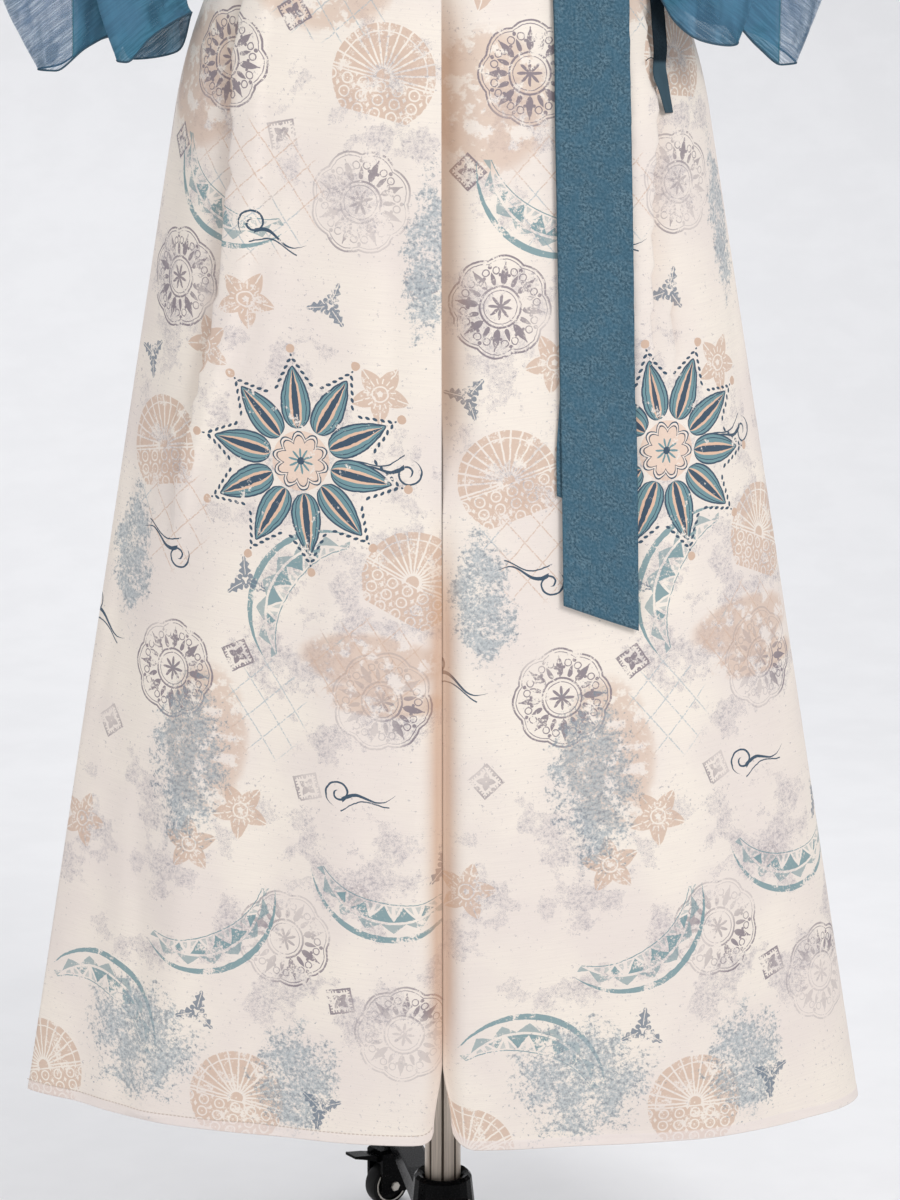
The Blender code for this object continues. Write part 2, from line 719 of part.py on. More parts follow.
def dress_form(finish):
    heights = FORM_FOOT_HEIGHTS + WAIST_HEIGHTS + CHEST_HEIGHTS + SHOULDER_HEIGHTS + (FORM_RINGS[-1].height,)
    grid = []
    for z in heights:
        tuck = -FOOT_ROUNDING * (1 - ease(FORM_FOOT_HEIGHTS[0], FORM_FOOT_HEIGHTS[2], z))
        grid.append([form_point(2 * math.pi * i / FORM_SEGMENTS, z, tuck) for i in range(FORM_SEGMENTS)])
    return loft("form_torso", grid, finish)


def neck_cap(finish):
    mesh = bpy.data.meshes.new("form_neck_cap")
    shape = bmesh.new()
    neck = FORM_RINGS[-1]
    bmesh.ops.create_cone(shape, cap_ends=True, segments=FORM_SEGMENTS, radius1=neck.half_width,
                          radius2=neck.half_width - 0.012, depth=NECK_CAP_HEIGHT)
    shape.to_mesh(mesh)
    shape.free()
    made = place("form_neck_cap", mesh, finish, smooth=False)
    mesh.transform(Matrix.Diagonal((1, neck.front / neck.half_width, 1, 1)))
    made.location.z = neck.height + SEAM_GAP + NECK_CAP_HEIGHT / 2
    return made


def jacket_point(turn, z, lift=0.0):
    return form_point(turn, z, read(JACKET_EASE, "gap", z) + lift)


def armhole_turn(z):
    """Half the angle that the armhole takes at a height, from the side."""
    share = (z - ARMHOLE_CENTRE) / ARMHOLE_HALF
    if abs(share) >= 1:
        return 0.0
    return ARMHOLE_TURN * math.sqrt(1 - share * share)


def outward(turn, z):
    """Level direction square to the form's section."""
    half_width = read(FORM_RINGS, "half_width", z)
    deep = read(FORM_RINGS, "front" if math.cos(turn) > 0 else "back", z)
    return Vector((math.sin(turn) / half_width, -math.cos(turn) / deep, 0)).normalized()


def front_edge_turn(z, back_off=0.0):
    """Angle of the jacket front's edge: straight up the centre, then away to the neck."""
    x = 0.0009 + 0.052 * ease(1.36, 1.63, z) + back_off
    half_width = read(FORM_RINGS, "half_width", z) + read(JACKET_EASE, "gap", z)
    return math.asin(min(0.98, x / half_width))


def jacket_heights():
    below = WAIST_HEIGHTS + (COLLAR_FOOT,) + CHEST_HEIGHTS[:5]
    return below + ARM_HEIGHTS + SHOULDER_HEIGHTS[2:6]


def jacket_front(side, finish):
    sign = 1 if side == "right" else -1
    grid = []
    for z in reversed(jacket_heights()):
        first = front_edge_turn(z)
        last = math.pi / 2 - armhole_turn(z) - 0.002
        turns = [first + (last - first) * i / 8 for i in range(9)]
        grid.append([jacket_point(sign * turn, z) for turn in turns])
    return cloth(f"jacket_{side}_front", grid, CHIFFON_WALL, finish)


def jacket_back(finish):
    grid = []
    for z in reversed(jacket_heights()):
        first = math.pi / 2 + armhole_turn(z) + 0.002
        turns = [first + (2 * math.pi - 2 * first) * i / 14 for i in range(15)]
        grid.append([jacket_point(turn, z) for turn in turns])
    return cloth("jacket_back", grid, CHIFFON_WALL, finish)


def collar(finish):
    """One band up each front edge and round the back of the neck, on the jacket's points moved out."""
    lift = CHIFFON_WALL / 2 + SEAM_GAP + 0.0024
    edges = []
    for z in (COLLAR_FOOT,) + CHEST_HEIGHTS[:6] + ARM_HEIGHTS[3:4] + SHOULDER_HEIGHTS[:2]:
        edges.append((front_edge_turn(z), z, front_edge_turn(z, COLLAR_WIDTH), z))
    for turn in COLLAR_STATIONS:
        height, outer_turn, outer_height = (
            read(COLLAR_NECK, column, turn) for column in ("inner_height", "outer_turn", "outer_height")
        )
        edges.append((math.radians(turn), height, math.radians(outer_turn), outer_height))
    edges += [(2 * math.pi - a, b, 2 * math.pi - c, d) for a, b, c, d in reversed(edges[:-1])]
    grid = []
    for inner_turn, inner_z, outer_turn, outer_z in edges:
        line = []
        for share in (0.0, 0.5, 1.0):
            turn = inner_turn + (outer_turn - inner_turn) * share
            z = inner_z + (outer_z - inner_z) * share
            line.append(jacket_point(turn, z, lift))
        grid.append(line)
    return cloth("jacket_collar", grid, 0.0012, finish)


def armhole_point(turn, sign):
    """A point of the armhole's edge, moved out to where the sleeve starts."""
    z = ARMHOLE_CENTRE + ARMHOLE_HALF * math.cos(turn)
    around = math.pi / 2 - ARMHOLE_TURN * math.sin(turn)
    point = jacket_point(around, z) + outward(around, z) * (CHIFFON_WALL + SEAM_GAP)
    point.x *= sign
    return point


def cuff_point(rows, turn, sign):
    degrees = math.degrees(turn)
    if degrees > 180:
        degrees -= 360
    table = rows + (Cuff(-180, *rows[0][1:]),)
    out, deep, height = (read(table, column, degrees) for column in ("out", "deep", "height"))
    return Vector((sign * out, deep, height))


def sleeve(side, finish):
    sign = 1 if side == "right" else -1
    rows = SLEEVE_RIGHT if side == "right" else SLEEVE_LEFT
    cuff = CUFF_RIGHT if side == "right" else CUFF_LEFT
    turns = sleeve_turns(cuff)
    grid = [[armhole_point(turn, sign) for turn in turns]]
    cuff_middle = sum((cuff_point(cuff, turn, sign) for turn in turns), Vector()) / len(turns)
    for row in rows:
        tilt = math.radians(row.tilt)
        outer = Vector((sign * math.sin(tilt), 0, math.cos(tilt)))
        centre = Vector((sign * row.out, row.deep, row.height))
        line = []
        for turn in turns:
            plain = centre + outer * row.half_wide * math.cos(turn)
            plain.y -= row.half_deep * math.sin(turn)
            folded = cuff_point(cuff, turn, sign) - cuff_middle
            folded.x *= row.half_wide / 0.062
            folded.z = 0
            line.append(plain.lerp(centre + folded, row.cuff))
        grid.append(line)
    grid.append([cuff_point(cuff, turn, sign) for turn in turns])
    return cloth(f"sleeve_{side}", grid, CHIFFON_WALL, finish, closed=True)


def sleeve_turns(cuff):
    """Angles of the sleeve's columns: the cuff's own rows, and one between each two."""
    rows = [row.turn for row in cuff]
    rows.append(rows[0] - 360)
    turns = []
    for a, b in zip(rows, rows[1:]):
        turns += [a, (a + b) / 2]
    return [math.radians(turn) for turn in turns]


# The stand


def turned(name, profile, steps, finish):
    """A profile turned about the vertical axis. It runs down the outside, top to bottom."""
    edges = [(i, i + 1) for i in range(len(profile) - 1)]
    mesh = bpy.data.meshes.new(name)
    mesh.from_pydata([(radius, 0, height) for radius, height in profile], edges, [])
    made = place(name, mesh, finish, smooth=False)
    screw = made.modifiers.new("Turned", "SCREW")
    screw.steps = screw.render_steps = steps
    screw.use_merge_vertices = True
    screw.merge_threshold = 0.00005
    return made


def outline_solid(name, outline, half_height, finish):
    """A flat outline given thickness, as a mesh centred on its own plane."""
    curve = bpy.data.curves.new(name, "CURVE")
    curve.dimensions = "2D"
    curve.fill_mode = "BOTH"
    curve.extrude = half_height
    line = curve.splines.new("POLY")
    line.points.add(len(outline) - 1)
    for point, (x, y) in zip(line.points, outline):
        point.co = (x, y, 0, 1)
    line.use_cyclic_u = True
    helper = bpy.data.objects.new(name, curve)
    bpy.context.scene.collection.objects.link(helper)
    bpy.context.view_layer.update()
    mesh = bpy.data.meshes.new_from_object(helper.evaluated_get(bpy.context.evaluated_depsgraph_get()))
    bpy.data.objects.remove(helper)
    weld(mesh)
    return place(name, mesh, finish, smooth=False)


def weld(mesh):
    shape = bmesh.new()
    shape.from_mesh(mesh)
    bmesh.ops.remove_doubles(shape, verts=shape.verts, dist=0.00001)
    bmesh.ops.recalc_face_normals(shape, faces=shape.faces)
    shape.to_mesh(mesh)
    shape.free()


def cylinder(name, radius, length, segments, finish, turn=0.0):
    mesh = bpy.data.meshes.new(name)
    shape = bmesh.new()
    bmesh.ops.create_cone(shape, cap_ends=True, segments=segments, radius1=radius, radius2=radius,
                          depth=length)
    bmesh.ops.rotate(shape, verts=shape.verts, matrix=Matrix.Rotation(turn, 3, "Z"))
    shape.to_mesh(mesh)
    shape.free()
    return place(name, mesh, finish, smooth=False)


def pole(finish):
    """A round tube with rounded grooves down it."""
    outline = []
    for flute in range(POLE_FLUTES):
        centre = 2 * math.pi * flute / POLE_FLUTES
        for turn, radius in ((-4, 1.0), (0, 0.90), (4, 1.0), (15, 1.0), (30, 1.0)):
            angle = centre + math.radians(turn)
            outline.append((POLE_RADIUS * radius * math.sin(angle), -POLE_RADIUS * radius * math.cos(angle)))
    top = FORM_RINGS[0].height - SEAM_GAP
    made = outline_solid("stand_pole", outline, (top - POLE_FOOT) / 2, finish)
    made.location.z = (top + POLE_FOOT) / 2
    return made


def hub(finish):
    bore = POLE_RADIUS + SEAM_GAP
    profile = (
        (0.0, POLE_FOOT - SEAM_GAP),
        (bore, POLE_FOOT - SEAM_GAP),
        (bore, HUB_TOP - 0.004),
        (bore + 0.003, HUB_TOP - 0.001),
        (0.0215, HUB_TOP),
        (0.0240, HUB_TOP - 0.003),
        (0.0268, HUB_TOP - 0.030),
        (0.0290, HUB_FOOT + 0.004),
        (0.0260, HUB_FOOT),
        (0.0, HUB_FOOT),
    )
    return turned("stand_hub", profile, 20, finish)


def radial(turn):
    """Direction at an angle from straight back, positive to the left."""
    return Vector((-math.sin(turn), math.cos(turn), 0))


def leg(number, finish):
    """A bar from the hub that lowers and narrows to the caster's socket."""
    start, end = 0.0292, LEG_RADIUS + 0.013
    outline = (
        (start, LEG_UNDER),
        (end, LEG_UNDER),
        (end, LEG_UNDER + 0.013),
        (LEG_RADIUS - 0.030, LEG_UNDER + 0.016),
        (0.12, LEG_UNDER + 0.022),
        (start, LEG_UNDER + 0.025),
    )
    made = outline_solid(f"stand_leg_{number}", outline, 0.012, finish)
    soft = made.modifiers.new("Rounded edges", "BEVEL")
    soft.width = 0.002
    soft.segments = 1
    turn = LEG_TURN + 2 * math.pi * number / LEGS
    made.rotation_euler = (math.pi / 2, 0, turn + math.pi / 2)
    return made


def cut(target, cutter, operation):
    """A Boolean of two meshes, applied, and the second one removed."""
    change = target.modifiers.new(operation, "BOOLEAN")
    change.operation = operation
    change.object = cutter
    change.solver = "EXACT"
    bpy.context.view_layer.update()
    graph = bpy.context.evaluated_depsgraph_get()
    mesh = bpy.data.meshes.new_from_object(target.evaluated_get(graph))
    target.modifiers.clear()
    target.data = mesh
    bpy.data.objects.remove(cutter)


def fork(number, finish):
    """An upside down U over the wheel, with its axle and a swivel plate. X is the axle, Z is up."""
    top, under = 0.0550, 0.0430
    outline = (
        (-FORK_HALF, 0.013),
        (-FORK_HALF, top - 0.003),
        (-FORK_HALF + 0.003, top),
        (FORK_HALF - 0.003, top),
        (FORK_HALF, top - 0.003),
        (FORK_HALF, 0.013),
        (FORK_INSIDE, 0.013),
        (FORK_INSIDE, under),
        (-FORK_INSIDE, under),
        (-FORK_INSIDE, 0.013),
    )
    made = outline_solid(f"caster_{number}_fork", outline, (FORK_FRONT + FORK_BACK) / 2, finish)
    upright = Matrix.Rotation(math.pi / 2, 4, "X")
    made.data.transform(Matrix.Translation((0, (FORK_BACK - FORK_FRONT) / 2, 0)) @ upright)
    axle = cylinder("axle", AXLE_RADIUS, 2 * FORK_HALF + 0.004, 8, finish)
    axle.data.transform(Matrix.Translation((0, 0, WHEEL_RADIUS)) @ Matrix.Rotation(math.pi / 2, 4, "Y"))
    cut(made, axle, "UNION")
    plate_foot, plate_top = top - 0.002, LEG_UNDER - SEAM_GAP
    plate = cylinder("plate", 0.0100, plate_top - plate_foot, 16, finish)
    plate.data.transform(Matrix.Translation((0, -CASTER_OFFSET, (plate_foot + plate_top) / 2)))
    cut(made, plate, "UNION")
    return made


def wheel(number, finish):
    """A wheel with a flat facet down and a bore for its axle. X is the axle."""
    made = cylinder(f"caster_{number}_wheel", WHEEL_RADIUS / math.cos(math.pi / WHEEL_SIDES), WHEEL_WIDTH,
                    WHEEL_SIDES, finish, math.pi / WHEEL_SIDES)
    bore = cylinder("bore", AXLE_RADIUS + RUNNING_GAP, 2 * WHEEL_WIDTH, 12, finish)
    cut(made, bore, "DIFFERENCE")
    made.data.transform(Matrix.Translation((0, 0, WHEEL_RADIUS)) @ Matrix.Rotation(math.pi / 2, 4, "Y"))
    return made


def brake(number, finish):
    """A pedal that stands off the fork's outer end. Y is the way the caster trails."""
    outline = (
        (FORK_BACK + SEAM_GAP, 0.0440),
        (FORK_BACK + SEAM_GAP, 0.0505),
        (FORK_BACK + 0.010, 0.0530),
        (FORK_BACK + 0.027, 0.0560),
        (FORK_BACK + 0.027, 0.0535),
        (FORK_BACK + 0.012, 0.0490),
    )
    made = outline_solid(f"caster_{number}_brake", outline, 0.0075, finish)
    made.data.transform(Matrix.Rotation(math.pi / 2, 4, "Z") @ Matrix.Rotation(math.pi / 2, 4, "X"))
    return made


def caster(number, plastic, rubber):
    """Fork, wheel and brake pedal under the end of one leg, parented to an empty on the swivel axis."""
    turn = LEG_TURN + 2 * math.pi * number / LEGS
    swivel = bpy.data.objects.new(f"caster_{number}_swivel", None)
    bpy.data.collections["hanfu_skirt_set"].objects.link(swivel)
    swivel.location = radial(turn) * LEG_RADIUS
    heading = Matrix.Rotation(2 * math.pi * number / LEGS, 3, "Z") @ CASTER_HEADING
    swivel.rotation_euler.z = math.atan2(-heading.x, heading.y)
    for piece in (fork(number, plastic), wheel(number, rubber), brake(number, plastic)):
        weld(piece.data)
        piece.parent = swivel
        piece.location.y = CASTER_OFFSET


def clamp_screw(finish):
    """A bolt head on the hub's right side."""
    made = cylinder("stand_clamp_screw", 0.0042, 0.006, 6, finish)
    out = Vector((0.80, -0.60, 0.0))
    made.rotation_euler = out.to_track_quat("Z", "Y").to_euler()
    made.location = out * 0.0296 + Vector((0, 0, 0.103))
    return made


def clear_scene():
    for old in list(bpy.data.objects):
        bpy.data.objects.remove(old)


def main():
    clear_scene()
    group = bpy.data.collections.new("hanfu_skirt_set")
    bpy.context.scene.collection.children.link(group)
    printed = material("Printed skirt cloth", (0.82, 0.74, 0.66), 0.8)
    chiffon = material("Blue crinkle chiffon", (0.10, 0.24, 0.34), 0.7)
    brocade = material("Blue jacquard sash", (0.07, 0.18, 0.26), 0.75)
    jersey = material("Form cover", (0.72, 0.68, 0.62), 0.9)
    cap = material("Neck cap", (0.10, 0.09, 0.08), 0.5)
    steel = material("Fluted steel", (0.55, 0.52, 0.48), 0.35, 0.9)
    plastic = material("Black plastic", (0.02, 0.02, 0.02), 0.35)
    rubber = material("Caster tread", (0.03, 0.03, 0.03), 0.6)
    zinc = material("Zinc screw", (0.55, 0.54, 0.50), 0.4, 1.0)

    for quarter in PLEAT_LINES:
        skirt_panel(quarter, printed)
    waistband(printed)
    sash_wrap(brocade)
    sash_knot(brocade)
    strip("sash_tail", TAIL_ROUTE, TAIL_END, TAIL_SLANT / 2, 0.0046, SASH_WALL, 20, 3, brocade)
    strip("sash_tail_under", TAIL_ROUTE, UNDER_TAIL_END, TAIL_SLANT / 2, 0.0022, SASH_WALL, 18, 3, brocade,
          under_shift)
    tie(chiffon)
    jacket_front("left", chiffon)
    jacket_front("right", chiffon)
    jacket_back(chiffon)
    collar(brocade)
    sleeve("left", chiffon)
    sleeve("right", chiffon)
    dress_form(jersey)
    neck_cap(cap)
    pole(steel)
    hub(plastic)
    clamp_screw(zinc)
    for number in range(LEGS):
        leg(number, plastic)
        caster(number, plastic, rubber)


main()
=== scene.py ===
"""Looks of the hanfu skirt set: fine cloth shells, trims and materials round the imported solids.

Metres, +Z up, the front faces -Y. Left and right are as seen from the front.
"""

import bisect
import math
from collections import namedtuple

import bmesh
import bpy
from mathutils import Matrix, Vector, noise


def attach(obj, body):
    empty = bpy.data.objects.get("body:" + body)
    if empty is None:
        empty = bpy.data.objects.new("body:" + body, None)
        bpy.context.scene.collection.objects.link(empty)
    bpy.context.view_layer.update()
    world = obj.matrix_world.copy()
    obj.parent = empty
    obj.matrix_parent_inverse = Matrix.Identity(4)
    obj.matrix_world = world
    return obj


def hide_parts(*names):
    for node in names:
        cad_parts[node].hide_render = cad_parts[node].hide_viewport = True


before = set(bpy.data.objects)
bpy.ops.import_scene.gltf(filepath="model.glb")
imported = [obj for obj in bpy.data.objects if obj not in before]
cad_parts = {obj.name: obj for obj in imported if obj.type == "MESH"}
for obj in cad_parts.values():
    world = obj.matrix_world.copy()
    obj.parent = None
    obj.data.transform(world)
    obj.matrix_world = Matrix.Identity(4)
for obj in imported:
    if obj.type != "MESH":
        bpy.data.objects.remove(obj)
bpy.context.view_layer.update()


def table(fields, *rows):
    """Rows of numbers whose columns have names."""
    row_type = namedtuple("Row", fields)
    return tuple(row_type(*row) for row in rows)


def quarter_tables(fields, rows_of):
    """A table for each quarter of the skirt."""
    return {quarter: table(fields, *rows) for quarter, rows in rows_of.items()}


# Heights of the garment
SKIRT_TOP = 1.195
SKIRT_HEM = 0.198
HEM_DROP = {"left": 0.0, "right": 0.0035}
BAND_HEIGHT = 0.04
SASH_HEIGHT = 0.056
HIP_START = 1.0

# Skirt sections: half widths and depths, and how pointed the sides are
HEM_HALF_WIDTH = 0.3417
WIDTH_PER_HEIGHT = 0.169
WAIST_HALF_WIDTH = 0.1185
HEM_FRONT = 0.128
HIP_FRONT = 0.12
WAIST_FRONT = 0.0885
HEM_BACK = 0.135
HIP_BACK = 0.13
WAIST_BACK = 0.085
ROUND = 0.5
POINTED_LEFT = 0.95
POINTED_RIGHT = 0.56
POINTED_BACK = 0.72

# Front opening
UNDERLAP = 0.04
LAP_END = 0.74
LAP_EASE = 0.05
LAP_TOP = SKIRT_TOP - 0.04
LAP_STEP = 0.012
LAP_LIFT = 0.002
LAP_LIFT_SPAN = (0.042, 0.07)
LAP_ROLL = 0.032
LAP_SHUT_START = 1.04
LAP_SHUT_END = 1.15
GROOVE_DEPTH = 0.015
GROOVE_WIDTH = 0.0105
GROOVE_FULL = 0.6
GROOVE_AT_HEM = 0.35
GROOVE_RISE_END = 0.34
SLIT_TOP = 0.262
SLIT_HALF = 0.0066
CORNER_LEFT = 0.01
CORNER_RIGHT = 0.02

# Cloth
SKIRT_WALL = 0.0012
CHIFFON_WALL = 0.001
SASH_WALL = 0.0014
SEAM_GAP = 0.0003
SIDE_SEAM = 0.0007
PLEAT_HALF = 0.009
LAYER = 0.0034
CURVE_STEPS = 72

# Walls of the fine cloth
CHIFFON_SHELL = 0.0006
SASH_SHELL = 0.0009
SASH_END_SHELL = 0.0008
BAND_SHELL = 0.0011
TIE_SHELL = 0.0007

# Sash and tie
TAIL_SLANT = 0.022
TAIL_END = 0.6205
UNDER_TAIL_END = 0.705
TAIL_REACH = 0.005
TIE_HALF_WIDTH = 0.0052
TIE_CLEAR = 0.0022
TIE_TOP_CLEAR = 0.0015

# Dress form
FORM_RINGS = table(
    "height half_width front back",
    (0.935, 0.15, 0.09, 0.098), (0.97, 0.16, 0.096, 0.11), (1.02, 0.164, 0.098, 0.115),
    (1.08, 0.152, 0.094, 0.106), (1.14, 0.129, 0.087, 0.091), (1.19, 0.114, 0.084, 0.0805),
    (1.255, 0.114, 0.084, 0.0805), (1.31, 0.13, 0.106, 0.09), (1.365, 0.143, 0.124, 0.096),
    (1.41, 0.15, 0.124, 0.101), (1.46, 0.157, 0.106, 0.104), (1.51, 0.167, 0.084, 0.102),
    (1.555, 0.174, 0.066, 0.092), (1.585, 0.168, 0.054, 0.078), (1.605, 0.14, 0.048, 0.068),
    (1.625, 0.096, 0.045, 0.058), (1.642, 0.064, 0.046, 0.052), (1.665, 0.055, 0.048, 0.049),
    (1.7, 0.052, 0.047, 0.047),
)
FOOT_ROUNDING = 0.006
FORM_FOOT_HEIGHTS = (0.935, 0.94, 0.955, 0.99, 1.04, 1.09, 1.14)
WAIST_HEIGHTS = (1.165, 1.19, 1.25)
CHEST_HEIGHTS = (1.29, 1.33, 1.37, 1.41, 1.452, 1.5, 1.545)
SHOULDER_HEIGHTS = (1.571, 1.587, 1.599, 1.609, 1.619, 1.63, 1.642, 1.66)
ARM_HEIGHTS = (1.457, 1.47, 1.5, 1.535, 1.5575, 1.571, 1.583, 1.587)
COLLAR_FOOT = 1.262

# How far the jacket stands off the form, at each height
JACKET_EASE = table(
    "height gap",
    (1.15, 0.0026), (1.24, 0.0026), (1.3, 0.009), (1.4, 0.01), (1.48, 0.009), (1.54, 0.006),
    (1.585, 0.0032), (1.7, 0.003),
)

# One knife pleat, across in half pleats and height in layers, pressed shut and as a step
PLEAT = table(
    "shut flat height step_height",
    (-3.4, -3.4, 0.0, 0.0), (-2.2, -2.2, 0.7, 0.7), (-1.2, -1.4, 2.0, 2.0), (0.75, -0.75, 2.0, 2.0),
    (1.0, -0.45, 1.5, 1.6), (0.75, -0.15, 1.25, 1.2), (-0.75, 0.15, 0.75, 0.8), (-1.0, 0.45, 0.5, 0.4),
    (-0.75, 0.75, 0.0, 0.0), (1.1, 1.4, 0.0, 0.0), (2.6, 2.6, 0.0, 0.0),
)

# Where each pleat's edge runs, as a share of the half width. Shut is 1 for a pressed pleat, 0 for a
# step and -1 for flat cloth.
PLEAT_LINES = quarter_tables("height share shut", {
    ("left", "front"): (
        (0.198, 0.84, -1.0), (0.62, 0.84, -1.0), (0.7, 0.835, -0.5), (0.78, 0.79, 0.0),
        (0.88, 0.74, 0.6), (0.96, 0.73, 1.0), (1.085, 0.79, 1.0), (1.195, 0.76, 0.8),
    ),
    ("right", "front"): (
        (0.198, 0.69, -1.0), (0.7, 0.69, -1.0), (0.78, 0.69, -0.5), (0.86, 0.705, 0.0),
        (0.94, 0.735, 0.5), (1.015, 0.775, 1.0), (1.195, 0.8, 0.8),
    ),
    ("left", "back"): (
        (0.198, 0.6, -1.0), (0.64, 0.6, -1.0), (0.72, 0.6, -0.5), (0.81, 0.59, 0.0),
        (0.95, 0.58, 0.9), (1.195, 0.62, 0.8),
    ),
    ("right", "back"): (
        (0.198, 0.55, -1.0), (0.6, 0.55, -1.0), (0.69, 0.55, -0.5), (0.77, 0.55, 0.0),
        (0.9, 0.56, 0.8), (1.195, 0.64, 0.8),
    ),
})

# Soft ridges and troughs: where they run as a share of the way to the side, and their height
FOLDS = quarter_tables("top_share hem_share spread top_height hem_height", {
    ("left", "front"): (
        (0.36, 0.34, 0.11, -0.001, -0.004), (0.6, 0.62, 0.09, 0.0, 0.003),
        (0.9, 0.86, 0.07, -0.002, -0.004),
    ),
    ("right", "front"): (
        (0.3, 0.26, 0.1, -0.001, -0.003), (0.62, 0.55, 0.09, 0.0, 0.003),
        (0.88, 0.8, 0.08, -0.001, -0.003),
    ),
    ("left", "back"): (
        (0.25, 0.3, 0.1, 0.0, 0.006), (0.55, 0.62, 0.1, -0.001, -0.007),
        (0.85, 0.86, 0.07, 0.0, 0.004),
    ),
    ("right", "back"): (
        (0.2, 0.24, 0.1, 0.0, -0.006), (0.5, 0.52, 0.1, 0.0, 0.006),
        (0.8, 0.8, 0.08, -0.001, -0.005),
    ),
})

# A sleeve as sections from the shoulder down: centre, tilt of the section, half sizes, share of cuff
SLEEVE_LEFT = table(
    "out deep height tilt half_wide half_deep cuff",
    (0.195, 0.002, 1.52, 14, 0.07, 0.054, 0.0), (0.222, 0.001, 1.488, 42, 0.063, 0.049, 0.0),
    (0.236, -0.001, 1.44, 68, 0.057, 0.043, 0.0), (0.244, -0.004, 1.37, 82, 0.056, 0.037, 0.0),
    (0.251, -0.006, 1.3, 88, 0.058, 0.032, 0.1), (0.258, -0.008, 1.235, 90, 0.064, 0.03, 0.3),
    (0.262, -0.01, 1.175, 90, 0.07, 0.029, 0.6), (0.264, -0.012, 1.125, 90, 0.074, 0.028, 0.85),
    (0.264, -0.012, 1.085, 90, 0.074, 0.028, 1.0),
)
SLEEVE_RIGHT = table(
    "out deep height tilt half_wide half_deep cuff",
    (0.195, 0.001, 1.52, 14, 0.07, 0.054, 0.0), (0.22, -0.003, 1.488, 42, 0.063, 0.049, 0.0),
    (0.231, -0.011, 1.44, 68, 0.057, 0.043, 0.0), (0.235, -0.022, 1.37, 82, 0.056, 0.037, 0.0),
    (0.235, -0.032, 1.3, 88, 0.058, 0.032, 0.1), (0.235, -0.04, 1.235, 90, 0.063, 0.03, 0.3),
    (0.233, -0.046, 1.175, 90, 0.067, 0.029, 0.6), (0.233, -0.05, 1.14, 90, 0.072, 0.028, 0.85),
    (0.233, -0.051, 1.103, 90, 0.074, 0.028, 1.0),
)

# The edge of each cuff, anticlockwise from the inner end by the front to the outer tip
CUFF_LEFT = table(
    "turn out deep height",
    (180, 0.1905, -0.028, 1.0735), (157, 0.205, -0.045, 1.066), (136, 0.2215, -0.051, 1.054),
    (118, 0.2385, -0.052, 1.0372), (108, 0.2462, -0.046, 1.0382), (98, 0.244, -0.04, 1.047),
    (88, 0.2385, -0.034, 1.0565), (78, 0.244, -0.027, 1.059), (56, 0.2703, -0.024, 1.0476),
    (28, 0.296, -0.02, 1.029), (0, 0.311, -0.006, 1.0295), (-30, 0.2975, 0.01, 1.0317),
    (-60, 0.273, 0.016, 1.0475), (-90, 0.252, 0.014, 1.054), (-120, 0.2385, 0.009, 1.0365),
    (-150, 0.204, -0.004, 1.043),
)
CUFF_RIGHT = table(
    "turn out deep height",
    (180, 0.163, -0.08, 1.0855), (157, 0.174, -0.096, 1.068), (136, 0.1905, -0.102, 1.0563),
    (118, 0.213, -0.1, 1.052), (108, 0.2198, -0.094, 1.054), (98, 0.216, -0.087, 1.06),
    (88, 0.211, -0.08, 1.068), (78, 0.215, -0.072, 1.07), (56, 0.237, -0.056, 1.05),
    (28, 0.258, -0.04, 1.0347), (0, 0.271, -0.02, 1.0352), (-30, 0.264, -0.006, 1.042),
    (-60, 0.2436, -0.012, 1.0549), (-90, 0.2216, -0.026, 1.0631), (-120, 0.1996, -0.044, 1.067),
    (-150, 0.1778, -0.062, 1.079),
)
ARMHOLE_CENTRE = 1.5195
ARMHOLE_HALF = 0.0675
ARMHOLE_TURN = math.radians(50)

# The collar band round the neck: angle from the centre front, and the heights of its two edges
COLLAR_WIDTH = 0.029
COLLAR_NECK = table(
    "inner_turn inner_height outer_turn outer_height",
    (19.9, 1.602, 31.5, 1.598), (30, 1.619, 40, 1.608), (52, 1.642, 58, 1.629), (80, 1.656, 83, 1.6335),
    (112, 1.661, 112, 1.6335), (146, 1.662, 146, 1.6335), (180, 1.662, 180, 1.6335),
)
COLLAR_STATIONS = (19.9, 30, 41, 52, 66, 80, 96, 112, 128, 145, 162, 180)

# Routes of the hanging strips: sideways place at each height
TAIL_ROUTE = table(
    "height across",
    (1.1952, 0.086), (1.15, 0.098), (1.12, 0.1045), (1.085, 0.109), (0.974, 0.1126),
    (0.804, 0.1168), (0.61, 0.1208),
)
TIE_ROUTE = table(
    "height across",
    (1.1952, 0.1128), (1.15, 0.136), (1.12, 0.149), (1.085, 0.1565), (1.042, 0.156),
    (1.02, 0.1625), (1.0005, 0.169),
)
TAIL_SPREAD = table(
    "height half_width",
    (1.1952, 0.017), (1.15, 0.0235), (1.085, 0.0277), (0.974, 0.0288), (0.61, 0.0286),
)
TIE_TWIST = table(
    "height degrees",
    (1.1952, 0), (1.17, 10), (1.1, 35), (1.06, 55), (1.038, 84), (1.02, 20), (1.0005, 0),
)

# Stand
POLE_RADIUS = 0.015
POLE_FLUTES = 8
POLE_FOOT = 0.102
POLE_SIDES = 192
FLUTE_HALF = math.radians(4.5)
FLUTE_DEPTH = 0.11
LEG_RADIUS = 0.247
LEG_TURN = math.radians(9.5)
LEGS = 4
WHEEL_RADIUS = 0.02
WHEEL_WIDTH = 0.016
CASTER_OFFSET = 0.013
CASTER_HEADING = Vector((-0.8, -0.6, 0.0))
FORK_HALF = 0.012


def ease(low, high, value):
    """0 at low, 1 at high, smooth between."""
    share = min(1.0, max(0.0, (value - low) / (high - low)))
    return share * share * (3 - 2 * share)


def bell(off, half):
    """1 at the middle, falling smoothly away on both sides."""
    return math.exp(-((off / half) ** 2))


def part_way(first, second, share):
    return first + (second - first) * share


